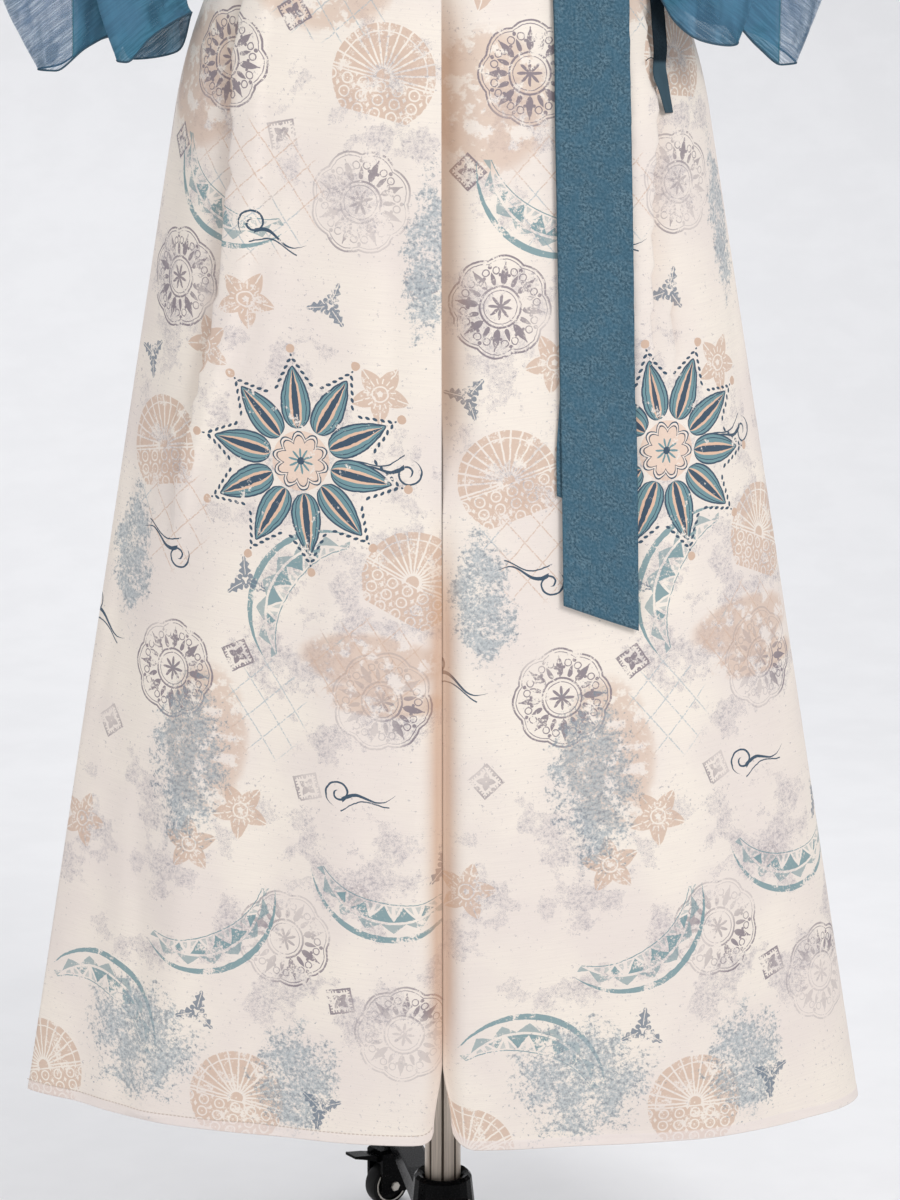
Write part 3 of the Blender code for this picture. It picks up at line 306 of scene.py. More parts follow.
def read(rows, column, at):
    """The named column of a table at a value of its first column, on a smooth curve through its rows."""
    keys = [row[0] for row in rows]
    values = [getattr(row, column) for row in rows]
    if keys[0] > keys[-1]:
        keys.reverse()
        values.reverse()
    if at <= keys[0]:
        return values[0]
    if at >= keys[-1]:
        return values[-1]
    i = max(k for k in range(len(keys) - 1) if keys[k] <= at)
    span = keys[i + 1] - keys[i]
    rise = (values[i + 1] - values[i]) / span
    before = (values[i] - values[i - 1]) / (keys[i] - keys[i - 1]) if i else rise
    after = (values[i + 2] - values[i + 1]) / (keys[i + 2] - keys[i + 1]) if i + 2 < len(keys) else rise
    start = 0 if before * rise <= 0 else min((before + rise) / 2, 2 * before, 2 * rise, key=abs)
    end = 0 if rise * after <= 0 else min((rise + after) / 2, 2 * rise, 2 * after, key=abs)
    t = (at - keys[i]) / span
    return (
        values[i] * (2 * t**3 - 3 * t**2 + 1)
        + span * start * (t**3 - 2 * t**2 + t)
        + values[i + 1] * (3 * t**2 - 2 * t**3)
        + span * end * (t**3 - t**2)
    )


def running_lengths(points):
    """How far along the line each of its points lies."""
    lengths = [0.0]
    for a, b in zip(points, points[1:]):
        lengths.append(lengths[-1] + (b - a).length)
    return lengths


def smooth(points, steps):
    """A smooth curve through the given points, with steps to each span."""
    line = []
    last = len(points) - 1
    for i in range(last):
        before, a = points[max(i - 1, 0)], points[i]
        b, after = points[i + 1], points[min(i + 2, last)]
        for k in range(steps):
            t = k / steps
            line.append((a * 2 + (b - before) * t + (before * 2 - a * 5 + b * 4 - after) * t**2
                         + (a * 3 - before - b * 3 + after) * t**3) * 0.5)
    line.append(points[-1])
    return line


def smooth_rows(grid, steps):
    """The grid with more rows, smooth down each column."""
    columns = [smooth([row[c] for row in grid], steps) for c in range(len(grid[0]))]
    return [list(row) for row in zip(*columns)]


def grid_normals(grid, closed=False):
    """Unit normals of a grid of points, which runs down and then across."""
    rows, width = len(grid), len(grid[0])
    normals = []
    for r in range(rows):
        line = []
        for c in range(width):
            down = grid[min(r + 1, rows - 1)][c] - grid[max(r - 1, 0)][c]
            if closed:
                across = grid[r][(c + 1) % width] - grid[r][c - 1]
            else:
                across = grid[r][min(c + 1, width - 1)] - grid[r][max(c - 1, 0)]
            line.append(across.cross(down).normalized())
        normals.append(line)
    return normals


def raised(grid, height, closed=False):
    """The grid with each point moved along its normal by height(row share, column share, point)."""
    normals = grid_normals(grid, closed)
    rows, width = len(grid) - 1, len(grid[0]) - (0 if closed else 1)
    return [
        [p + n * height(r / rows, c / width, p) for c, (p, n) in enumerate(zip(line, directions))]
        for r, (line, directions) in enumerate(zip(grid, normals))
    ]


def in_scene(name, data):
    made = bpy.data.objects.new(name, data)
    bpy.context.scene.collection.objects.link(made)
    return made


def place(name, mesh, finish, body="set"):
    """A piece of the object, riding on a body."""
    made = in_scene(name, mesh)
    mesh.materials.append(finish)
    mesh.shade_smooth()
    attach(made, body)
    return made


def mesh_of(name, points, faces):
    mesh = bpy.data.meshes.new(name)
    mesh.from_pydata(points, [], faces)
    mesh.update()
    return mesh


def quads(rows, width, closed=True):
    """Faces of a grid of points, which runs down and then across."""
    return [
        (r * width + c, r * width + (c + 1) % width, (r + 1) * width + (c + 1) % width, (r + 1) * width + c)
        for r in range(rows - 1)
        for c in range(width if closed else width - 1)
    ]


def end_faces(rows, width):
    """The two faces that close a tube of points."""
    return [tuple(reversed(range(width))), tuple((rows - 1) * width + c for c in range(width))]


def set_numbers(made, name, values):
    """One number on each point of a piece, for its material."""
    made.data.attributes.new(name, "FLOAT", "POINT").data.foreach_set("value", values)


def face_out(mesh, merge=0.0):
    """Turns every face outward, after joining the points that lie closer than merge."""
    shape = bmesh.new()
    shape.from_mesh(mesh)
    if merge:
        bmesh.ops.remove_doubles(shape, verts=shape.verts, dist=merge)
    bmesh.ops.recalc_face_normals(shape, faces=shape.faces)
    shape.to_mesh(mesh)
    shape.free()


def shell(name, grid, thickness, finish, closed=False, flat=None, thick_rows=None, thin=1.0):
    """A wall of cloth on a grid of points. Flat holds each point's place on the cloth as it was cut."""
    width = len(grid[0])
    mesh = mesh_of(name, [p for row in grid for p in row], quads(len(grid), width, closed))
    if flat is None:
        flat = flat_places(grid)
    places = mesh.attributes.new("flat", "FLOAT_VECTOR", "POINT")
    for value, (u, v) in zip(places.data, (p for row in flat for p in row)):
        value.vector = (u, v, 0.0)
    made = place(name, mesh, finish)
    wall = made.modifiers.new("Cloth thickness", "SOLIDIFY")
    wall.thickness = thickness
    wall.offset = 0.0
    if thick_rows:
        group = made.vertex_groups.new(name="thick")
        chosen = [r * width + c for r in range(len(grid)) if thick_rows(r) for c in range(width)]
        group.add(chosen, 1.0, "REPLACE")
        wall.vertex_group = group.name
        wall.thickness_vertex_group = thin
    return made


def flat_places(grid):
    """Lengths along the cloth, across and up, of each point of a grid."""
    middle = len(grid[0]) // 2
    down = 0.0
    places = []
    for r, row in enumerate(grid):
        if r:
            down -= (row[middle] - grid[r - 1][middle]).length
        across = running_lengths(row)
        places.append([(x - across[middle], down) for x in across])
    return places


def tube(name, path, radius, finish, sides=6, closed=False):
    """A thin round cord or rolled edge along a path."""
    count = len(path)
    points, faces = [], []
    for i, centre in enumerate(path):
        before = path[i - 1] if closed or i else path[0]
        after = path[(i + 1) % count] if closed or i < count - 1 else path[-1]
        ahead = (after - before).normalized()
        side = ahead.orthogonal() if abs(ahead.z) > 0.98 else ahead.cross(Vector((0, 0, 1)))
        side.normalize()
        up = side.cross(ahead)
        for k in range(sides):
            turn = 2 * math.pi * k / sides
            points.append(centre + (side * math.cos(turn) + up * math.sin(turn)) * radius)
    last = count if closed else count - 1
    for i in range(last):
        j = (i + 1) % count
        for k in range(sides):
            m = (k + 1) % sides
            faces.append((i * sides + k, j * sides + k, j * sides + m, i * sides + m))
    if not closed:
        faces += end_faces(count, sides)
    return place(name, mesh_of(name, points, faces), finish)


def skirt_size(quarter, z):
    """Half width, depth and roundness of a quarter's section."""
    side, face = quarter
    up = min(1.0, max(0.0, (z - HIP_START) / (SKIRT_TOP - HIP_START))) ** 2
    drop = (z - SKIRT_HEM) / (SKIRT_TOP - SKIRT_HEM)
    straight = HEM_HALF_WIDTH - WIDTH_PER_HEIGHT * (z - SKIRT_HEM)
    waist_straight = HEM_HALF_WIDTH - WIDTH_PER_HEIGHT * (SKIRT_TOP - SKIRT_HEM)
    half_width = straight + (WAIST_HALF_WIDTH - waist_straight) * up
    if face == "front":
        hem, hip, waist = HEM_FRONT, HIP_FRONT, WAIST_FRONT
        pointed = POINTED_LEFT if side == "left" else POINTED_RIGHT
    else:
        hem, hip, waist = HEM_BACK, HIP_BACK, WAIST_BACK
        pointed = POINTED_BACK
    depth = hem + (hip - hem) * drop + (waist - hip) * up
    return half_width, depth, ROUND + (pointed - ROUND) * (1 - ease(0.0, 1.0, drop))


def opening_edge(side, z):
    """Sideways place of a front panel's edge."""
    gap = SEAM_GAP + SLIT_HALF * ease(SLIT_TOP, SKIRT_HEM, z)
    if side == "left":
        return gap
    return gap - UNDERLAP * ease(LAP_END, LAP_TOP, z)


def section(quarter, z):
    """The plain curve of a quarter at height z, from the centre to the side, and the lengths along it."""
    side, face = quarter
    half_width, depth, pointed = skirt_size(quarter, z)
    start = opening_edge(side, z) if face == "front" else SEAM_GAP
    first = math.asin(start / half_width)
    points = []
    for i in range(CURVE_STEPS + 1):
        turn = first + (math.pi / 2 - first) * i / CURVE_STEPS
        deep = SIDE_SEAM + depth * abs(math.cos(turn)) ** (2 * pointed)
        points.append(Vector((half_width * math.sin(turn), -deep, 0)))
    return points, running_lengths(points)


def pleat_stations(middle, shut):
    """Distances and heights of the cloth through one pleat whose middle is there."""
    step_share = ease(-1.0, -0.1, shut)
    stations = []
    for turn in PLEAT:
        if abs(turn.shut) <= 1.0:
            across = turn.shut * shut if shut > 0 else -turn.flat * shut
        else:
            across = turn.shut + (turn.flat - turn.shut) * (1 - shut) / 2
        height = turn.step_height + (turn.height - turn.step_height) * max(shut, 0.0)
        stations.append((middle + across * PLEAT_HALF, height * LAYER * step_share))
    return stations


def front_relief(side, z, distance):
    """Depth near the opening: the right panel passes under the left, and both roll into a groove."""
    lap = ease(LAP_END - LAP_EASE, LAP_END + LAP_EASE, z)
    waist_shut = ease(LAP_SHUT_START, LAP_SHUT_END, z)
    at_hem = GROOVE_AT_HEM + (1 - GROOVE_AT_HEM) * ease(SKIRT_HEM, GROOVE_RISE_END, z)
    groove = GROOVE_DEPTH * (1 - ease(GROOVE_FULL, LAP_END, z)) * at_hem
    inward = groove * bell(distance, GROOVE_WIDTH)
    if side == "right":
        past_edge = distance - UNDERLAP * ease(LAP_END, LAP_TOP, z)
        inward += lap * LAP_STEP * (1 - waist_shut) * (1 - ease(0.0, LAP_ROLL, past_edge))
    else:
        inward -= lap * LAP_LIFT * waist_shut * (1 - ease(*LAP_LIFT_SPAN, distance))
    return -inward


def facing(quarter, point, z):
    """A point of the front right quarter's plane, mirrored to the quarter it is for."""
    side, face = quarter
    return Vector((point.x * (1 if side == "right" else -1), point.y * (1 if face == "front" else -1), z))


def corner_lift(radius, distance):
    if distance >= radius:
        return 0.0
    return radius - math.sqrt(radius**2 - (radius - distance) ** 2)


# Soft creases of a panel: share of the way to the side at top and foot, heights, half width, rise
CREASES = quarter_tables("top_share foot_share top foot half_width rise", {
    ("left", "front"): (
        (0.16, 0.13, 1.14, 0.6, 0.012, -0.0014), (0.27, 0.22, 0.8, 0.24, 0.02, 0.0016),
        (0.46, 0.5, 1.17, 0.74, 0.013, 0.0013), (0.44, 0.4, 0.62, 0.2, 0.024, -0.0018),
        (0.58, 0.66, 0.66, 0.2, 0.017, 0.0017), (0.77, 0.73, 0.52, 0.21, 0.014, -0.0015),
        (0.93, 0.95, 0.9, 0.42, 0.01, -0.0012),
    ),
    ("right", "front"): (
        (0.15, 0.12, 0.74, 0.3, 0.014, 0.0012), (0.3, 0.27, 1.12, 0.86, 0.01, -0.001),
        (0.25, 0.34, 0.56, 0.2, 0.022, -0.0017), (0.5, 0.46, 0.54, 0.22, 0.018, 0.0016),
        (0.93, 0.88, 1.06, 0.5, 0.011, -0.0013), (0.7, 0.74, 0.6, 0.2, 0.02, -0.0018),
    ),
    ("left", "back"): (
        (0.18, 0.15, 1.05, 0.52, 0.014, -0.0015), (0.4, 0.44, 0.78, 0.22, 0.019, 0.0018),
        (0.72, 0.76, 0.6, 0.2, 0.016, -0.0015),
    ),
    ("right", "back"): (
        (0.14, 0.1, 0.96, 0.48, 0.013, 0.0014), (0.34, 0.38, 0.86, 0.24, 0.021, -0.0018),
        (0.66, 0.64, 0.58, 0.21, 0.016, 0.0016), (0.9, 0.92, 0.84, 0.4, 0.012, -0.0012),
    ),
})

HEM_BAND = 0.0075
HEM_WALL_SHARE = 0.55
CREASE_STRENGTH = 1.6
CREASE_SWAY = 0.004
CREASE_TO_HEM = 0.23
STITCH_SPACING = 0.0034
FIRST_STITCH = 0.004
STITCH_ROOT = 0.0003
STITCH_FLARE = 0.0001
SEAM_TUCK = 0.0016
TROUGH_DEPTH = 0.0042
TROUGH_WIDTH = 0.015
TROUGH_PLACE = 0.006
# Painted shade along each pleat's edge, in the trough past it and in the front groove: widths and strengths
EDGE_SHADE_WIDTH = 0.0045
TROUGH_SHADE = 0.3
EDGE_SHADE = 0.55
GROOVE_SHADE_DEPTH = 0.012
EVEN_ROWS = 128
EVEN_ROWS_END = 0.016
INNER_COLUMNS = 46
INNER_SPACING = 1.25
OUTER_COLUMNS = 26
PRINT_TILT = math.radians(4.7)
PRINT_OFFSET = 0.105


def panel_heights():
    """Heights of a panel's rows: even, and close together through the hem band."""
    low = SKIRT_HEM + EVEN_ROWS_END
    rows = [SKIRT_TOP + (low - SKIRT_TOP) * i / EVEN_ROWS for i in range(EVEN_ROWS + 1)]
    edge = SKIRT_HEM + HEM_BAND
    band = [edge + step for step in (0.0035, 0.0008, 0.0, -0.002, -0.0045)]
    return rows + band + [SKIRT_HEM + 0.0008, SKIRT_HEM]


def crease_rise(quarter, z, distance, length):
    """Sum of the soft creases at a place of a panel."""
    rise = 0.0
    for crease in CREASES[quarter]:
        if not crease.foot < z < crease.top:
            continue
        way = (crease.top - z) / (crease.top - crease.foot)
        fade = ease(0.0, 0.25, way) * (1 - ease(0.7, 1.0, way))
        if crease.foot < CREASE_TO_HEM:
            fade = ease(0.0, 0.25, way)
        middle = part_way(crease.top_share, crease.foot_share, way) * length
        middle += CREASE_SWAY * math.sin(9 * way + 40 * crease.top_share)
        near = bell(distance - middle, crease.half_width)
        rise += CREASE_STRENGTH * crease.rise * fade * near
    return rise


def skirt_row(quarter, z):
    """One fine row of a panel, from the opening or the back seam to the side seam."""
    side, face = quarter
    points, lengths = section(quarter, z)
    half_width = skirt_size(quarter, z)[0]
    share = read(PLEAT_LINES[quarter], "share", z)
    shut = read(PLEAT_LINES[quarter], "shut", z)
    closest = min(range(len(points)), key=lambda k: abs(points[k].x - share * half_width))
    pleat = pleat_stations(lengths[closest] - PLEAT_HALF, shut)
    start, end = pleat[0][0], pleat[-1][0]
    stations = [(start * (i / INNER_COLUMNS) ** INNER_SPACING, 0.0) for i in range(INNER_COLUMNS)]
    stations += [tuple(p) for p in smooth([Vector(p) for p in pleat], 4)]
    stations += [(end + (lengths[-1] - end) * (i + 1) / OUTER_COLUMNS, 0.0) for i in range(OUTER_COLUMNS)]
    drop = (SKIRT_TOP - z) / (SKIRT_TOP - SKIRT_HEM)
    row, shades = [], []
    edge = next((a[0] for a, b in zip(pleat, pleat[1:]) if b[0] < a[0]), pleat[-1][0])
    shown = ease(-0.6, 0.4, shut)
    trough = TROUGH_DEPTH * shown * ease(0.0, 0.1, drop)
    for distance, height in stations:
        base, away = along(points, lengths, distance)
        under = distance > edge - 0.0005 and height < LAYER
        lee = bell(distance - edge - TROUGH_PLACE, TROUGH_WIDTH) if under else 0.0
        crease_shade = bell(distance - edge, EDGE_SHADE_WIDTH) if under else 0.0
        height -= trough * lee
        part = distance / lengths[-1]
        for fold in FOLDS[quarter]:
            middle = part_way(fold.top_share, fold.hem_share, drop)
            size = part_way(fold.top_height, fold.hem_height, drop)
            height += size * ease(0.0, 0.15, drop) * bell(part - middle, fold.spread)
        height += crease_rise(quarter, z, distance, lengths[-1])
        relief = front_relief(side, z, distance) if face == "front" else 0.0
        row.append(base + away * (height + relief))
        # Painted shade for the cloth's colour: darker the deeper the cloth lies inward at the opening, along
        # each pleat's edge and in the trough past it
        groove_shade = min(1.0, max(0.0, -relief / GROOVE_SHADE_DEPTH))
        shades.append(groove_shade + (TROUGH_SHADE * lee + EDGE_SHADE * crease_shade) * shown)
    distances = [distance for distance, _ in stations]
    if face == "front":
        row.append(row[-1] + Vector((-SEAM_TUCK, 2 * SIDE_SEAM + SEAM_TUCK, 0)))
        distances.append(distances[-1] + 2 * SEAM_TUCK)
        shades.append(0.0)
    return row, distances, shades


def along(points, lengths, distance):
    """Point and outward direction at a distance along a plain curve."""
    distance = min(max(distance, 0.0), lengths[-1])
    i = min(bisect.bisect_right(lengths, distance) - 1, len(lengths) - 2)
    span = points[i + 1] - points[i]
    away = Vector((span.y, -span.x, 0)).normalized()
    return points[i] + span * ((distance - lengths[i]) / (lengths[i + 1] - lengths[i])), away


def print_place(quarter, z, distance):
    """Where a point lies on the print: the same print on each panel, its axis leaning outward."""
    side, face = quarter
    sign = 1 if (side == "right") == (face == "front") else -1
    start = opening_edge(side, z) if face == "front" else SEAM_GAP
    across = sign * (start + distance)
    down = SKIRT_TOP - z
    u = across * math.cos(PRINT_TILT) - sign * down * math.sin(PRINT_TILT) - sign * PRINT_OFFSET
    v = -down * math.cos(PRINT_TILT) - sign * across * math.sin(PRINT_TILT)
    return u, v


def skirt_panel(quarter, finish, thread):
    side, face = quarter
    radius = CORNER_LEFT if side == "left" else CORNER_RIGHT
    _, hem_distances, _ = skirt_row(quarter, SKIRT_HEM)
    grid, flat, painted_shades = [], [], []
    heights = panel_heights()
    for z in heights:
        drop = (SKIRT_TOP - z) / (SKIRT_TOP - SKIRT_HEM)
        row, distances, shades = skirt_row(quarter, z)
        painted_shades += shades
        low = z - HEM_DROP[side] * ease(0.5, 1.0, drop)
        lifts = [0.0] * len(row)
        if face == "front":
            lifts = [corner_lift(radius, d) * ease(0.9, 1.0, drop) for d in hem_distances]
        grid.append([facing(quarter, point, low + lift) for point, lift in zip(row, lifts)])
        flat.append([print_place(quarter, z, distance) for distance in distances])
    edge = SKIRT_HEM + HEM_BAND + 0.0001
    name = f"{side}_{face}_panel"
    made = shell(name, grid, SKIRT_WALL, finish, flat=flat,
                 thick_rows=lambda r: heights[r] < edge, thin=HEM_WALL_SHARE)
    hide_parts(f"skirt_{side}_{face}")
    band = [1.0 if z < edge else 0.0 for z in heights for _ in grid[0]]
    set_numbers(made, "hem", band)
    # Painted shade on each point, for the cloth's colour
    set_numbers(made, "painted_shade", painted_shades)
    row = next(i for i, z in enumerate(heights) if z < edge + 0.001)
    sewn = stitches(f"{side}_{face}_stitches", grid[row], grid_normals(grid)[row], thread)


# One stitch: how far along it, how high and how wide
STITCH = ((0.0, 0.0004, 0.0), (0.0006, 0.0009, 0.0003), (0.002, 0.0009, 0.0003), (0.0026, 0.0004, 0.0))


def stitches(name, line, normals, finish):
    """A row of short raised stitches along a line of points, on its outer side."""
    points, faces = [], []
    travelled, following = 0.0, FIRST_STITCH
    for a, b, normal in zip(line, line[1:], normals):
        span = (b - a).length
        while following < travelled + span and span > 0:
            ahead = (b - a) / span
            start = a + ahead * (following - travelled)
            side = ahead.cross(normal).normalized()
            base = len(points)
            for along_stitch, rise, half in STITCH:
                centre = start + ahead * along_stitch + normal * rise
                low = centre - normal * STITCH_ROOT
                points += [low - side * (half + STITCH_FLARE), centre, low + side * (half + STITCH_FLARE)]
            for i in range(3):
                j = base + 3 * i
                faces += [(j, j + 1, j + 4, j + 3), (j + 1, j + 2, j + 5, j + 4), (j + 2, j, j + 3, j + 5)]
            faces += [(base, base + 2, base + 1), (base + 9, base + 10, base + 11)]
            following += STITCH_SPACING
        travelled += span
    return place(name, mesh_of(name, points, faces), finish)


# The sash and the tie
DEPTH_STEP = 0.002
DEPTH_ROWS = 0.004
DEPTH_COLUMNS = 140
depth_rows = {}


def outer_depths(row_number):
    """How far forward the right front panel comes at even steps sideways, for one height."""
    if row_number not in depth_rows:
        z = min(row_number * DEPTH_ROWS, SKIRT_TOP)
        row, _, _ = skirt_row(("right", "front"), z)
        depths = [0.0] * DEPTH_COLUMNS
        for a, b in zip(row, row[1:]):
            low, high = sorted((a.x, b.x))
            first = max(0, math.ceil(low / DEPTH_STEP))
            last = min(DEPTH_COLUMNS - 1, math.floor(high / DEPTH_STEP))
            for k in range(first, last + 1):
                share = (k * DEPTH_STEP - a.x) / (b.x - a.x) if b.x != a.x else 0.0
                depths[k] = min(depths[k], part_way(a.y, b.y, share))
        reach = round(TAIL_REACH / DEPTH_STEP)
        depth_rows[row_number] = [min(depths[max(0, k - reach):k + reach + 1]) for k in range(DEPTH_COLUMNS)]
    return depth_rows[row_number]


def outer_depth(x, z):
    """The forward reach of the skirt near a place, between the steps."""
    at, across = z / DEPTH_ROWS, x / DEPTH_STEP
    r, c = int(at), int(across)
    up, right = at - r, across - c
    low, high = outer_depths(r), outer_depths(r + 1)
    near = low[c] * (1 - right) + low[c + 1] * right
    far = high[c] * (1 - right) + high[c + 1] * right
    return near * (1 - up) + far * up


def lying_point(x, z, clear):
    """A point that lies on the right front panel, moved out square to it."""
    step = 0.004
    z = min(z, SKIRT_TOP - step)
    across = (outer_depth(x + step, z) - outer_depth(x - step, z)) / (2 * step)
    up = (outer_depth(x, z + step) - outer_depth(x, z - step)) / (2 * step)
    return Vector((x, outer_depth(x, z), z)) + Vector((across, -1.0, up)).normalized() * clear


# Long creases of the sash end: sideways share, heights, half width, rise
TAIL_CREASES = table(
    "top_share foot_share top foot half_width rise",
    (-0.5, -0.62, 1.19, 0.86, 0.0022, -0.0008), (-0.12, -0.2, 1.19, 0.93, 0.0026, 0.0008),
    (0.22, 0.3, 1.18, 0.84, 0.0024, -0.0008), (0.62, 0.58, 1.19, 1.0, 0.0022, 0.0007),
    (-0.3, 0.1, 0.9, 0.66, 0.006, 0.0009), (0.55, 0.4, 0.84, 0.64, 0.005, -0.0008),
)


def tail_rise(across, z, half_width):
    rise = 0.0
    for crease in TAIL_CREASES:
        if crease.foot < z < crease.top:
            way = (crease.top - z) / (crease.top - crease.foot)
            fade = (1 - ease(0.6, 1.0, way)) * ease(-0.05, 0.12, way)
            middle = part_way(crease.top_share, crease.foot_share, way)
            offset = (across - middle) * half_width / crease.half_width
            rise += crease.rise * fade * bell(offset, 1)
    return rise


def strip_grid(end, clear, shift, creased):
    """A flat strip that hangs down the right front panel. Its end is cut on a slant."""
    top = TAIL_ROUTE[0].height
    grid = []
    for r in range(TAIL_ROWS + 1):
        line = []
        for c in range(TAIL_COLUMNS + 1):
            across = 2 * c / TAIL_COLUMNS - 1
            foot = end - TAIL_SLANT / 2 * across
            z = top + (foot - top) * r / TAIL_ROWS
            half_width = read(TAIL_SPREAD, "half_width", z)
            x = read(TAIL_ROUTE, "across", z) + across * half_width + shift(z)
            point = lying_point(x, z, clear + creased * tail_rise(across, z, half_width))
            line.append(Vector((point.x, point.y, z)) if z > SKIRT_TOP - 0.004 else point)
        grid.append(line)
    return grid


def under_shift(z):
    """The under end of the sash shows past the upper one's left edge, low down."""
    return -0.0035 * (1 - ease(0.74, 0.8, z))


TAIL_ROWS = 150
TAIL_COLUMNS = 36
TAIL_CLEAR = 0.0046
UNDER_TAIL_CLEAR = 0.0022


def sash_ends(finish):
    for name, node, end, clear, shift, creased in (
        ("sash_end", "sash_tail", TAIL_END, TAIL_CLEAR, lambda z: 0.0, 1.0),
        ("sash_end_under", "sash_tail_under", UNDER_TAIL_END, UNDER_TAIL_CLEAR, under_shift, 0.2),
    ):
        grid = strip_grid(end, clear, shift, creased)
        made = shell(name, grid, SASH_END_SHELL, finish)
        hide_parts(node)


TIE_STATIONS = 12
TWIST_HEIGHT = 1.0405
LOOSE_THREAD = ((0, 0, 0), (-0.002, -0.0012, 0.0012), (-0.0045, -0.0008, 0.0005), (-0.0062, -0.0001, -0.0012))


def tie(finish):
    """A narrow ribbon that hangs with one twist in it."""
    rows, columns = 120, 8
    top, end = TIE_ROUTE[0].height, TIE_ROUTE[-1].height
    grid = []
    knots = [top + (end - top) * i / TIE_STATIONS for i in range(TIE_STATIONS + 1)]
    middles, sides = [], []
    for z in knots:
        middle = read(TIE_ROUTE, "across", z)
        turn = math.radians(read(TIE_TWIST, "degrees", z))
        clear = part_way(TIE_CLEAR, TIE_TOP_CLEAR, ease(1.17, 1.195, z))
        middles.append(lying_point(middle, z, clear + TIE_HALF_WIDTH * math.sin(turn)))
        middles[-1].z = z
        sides.append(lying_point(middle + 0.01, z, 0) - lying_point(middle - 0.01, z, 0))
    steps = rows // TIE_STATIONS
    for point, wide in zip(smooth(middles, steps), smooth(sides, steps)):
        turn = math.radians(read(TIE_TWIST, "degrees", point.z))
        side = wide.normalized()
        away = Vector((side.y, -side.x, 0)).normalized()
        line = []
        for c in range(columns + 1):
            share = 2 * c / columns - 1
            across = share * TIE_HALF_WIDTH
            fold = 0.0005 * bell(share, 0.25)
            line.append(point + side * across * math.cos(turn) + away * (across * math.sin(turn) - fold))
        grid.append(line)
    made = shell("tie_ribbon", grid, TIE_SHELL, finish)
    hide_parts("waist_tie")
    knot = read(TIE_ROUTE, "across", TWIST_HEIGHT)
    start = lying_point(knot - 0.002, TWIST_HEIGHT, 0.0065)
    thread = smooth([start + Vector(step) for step in LOOSE_THREAD], 5)
    loose = tube("tie_thread", thread, 0.00035, finish, sides=5)


def waist_fine(z, outward, steps=30):
    """The whole waist section, moved out, from the centre front round by the left."""
    ring = []
    for quarter, backwards in (
        (("left", "front"), False),
        (("left", "back"), True),
        (("right", "back"), False),
        (("right", "front"), True),
    ):
        half_width, depth, _ = skirt_size(quarter, SKIRT_TOP)
        turns = [math.pi / 2 * i / steps for i in range(steps)]
        if backwards:
            turns = [math.pi / 2 - t for t in turns]
        for turn in turns:
            point = Vector(((half_width + outward) * math.sin(turn), -(depth + outward) * math.cos(turn), 0))
            ring.append(facing(quarter, point, z))
    return ring


BAND_ROWS = 12
WRAP_ROWS = 40


def waistband(finish):
    grid = []
    for r in range(BAND_ROWS + 1):
        ring = waist_fine(SKIRT_TOP + 0.0006 + BAND_HEIGHT * (1 - r / BAND_ROWS), 0.0)
        end = ring[0].copy()
        end.x = SEAM_GAP
        ring[0].x = -SEAM_GAP
        grid.append(ring + [end])
    made = shell("skirt_band", grid, BAND_SHELL, finish)
    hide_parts("skirt_waistband")


# Creases of the wrap: share down, drift, half width and rise
WRAP_CREASES = (
    (0.22, 0.05, 0.05, 0.0009), (0.46, -0.07, 0.06, -0.0008), (0.63, 0.06, 0.045, 0.001),
    (0.83, -0.04, 0.05, -0.0007),
)


def wrap_rise(r, c, _):
    """Long level creases of the wrap, which run into the knot."""
    turn = 2 * math.pi * c
    rise = 0.0
    for level, drift, half, size in WRAP_CREASES:
        middle = level + drift * math.sin(turn + 9 * level)
        strength = 0.55 + 0.45 * math.sin(2 * turn + 20 * level)
        rise += size * strength * bell(r - middle, half)
    return max(rise, -0.0003)


def sash_wrap(finish):
    lift = SKIRT_WALL / 2 + SEAM_GAP + SASH_WALL / 2
    grid = [waist_fine(SKIRT_TOP + 0.0016 + SASH_HEIGHT * (1 - r / WRAP_ROWS), lift, 60)
            for r in range(WRAP_ROWS + 1)]
    grid = [row + row[:1] for row in raised(grid, wrap_rise, closed=True)]
    made = shell("sash_band", grid, SASH_SHELL, finish)
    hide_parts("sash_wrap")
    knot = sash_knot(finish)


KNOT_PLACE = 0.098
KNOT_LIFT = 0.01
KNOT_HALF_WIDTH = 0.0195
KNOT_HALF_HEIGHT = 0.0215
KNOT_FRONT = 0.0088
KNOT_BACK = 0.0084
KNOT_SQUARENESS = 2.6


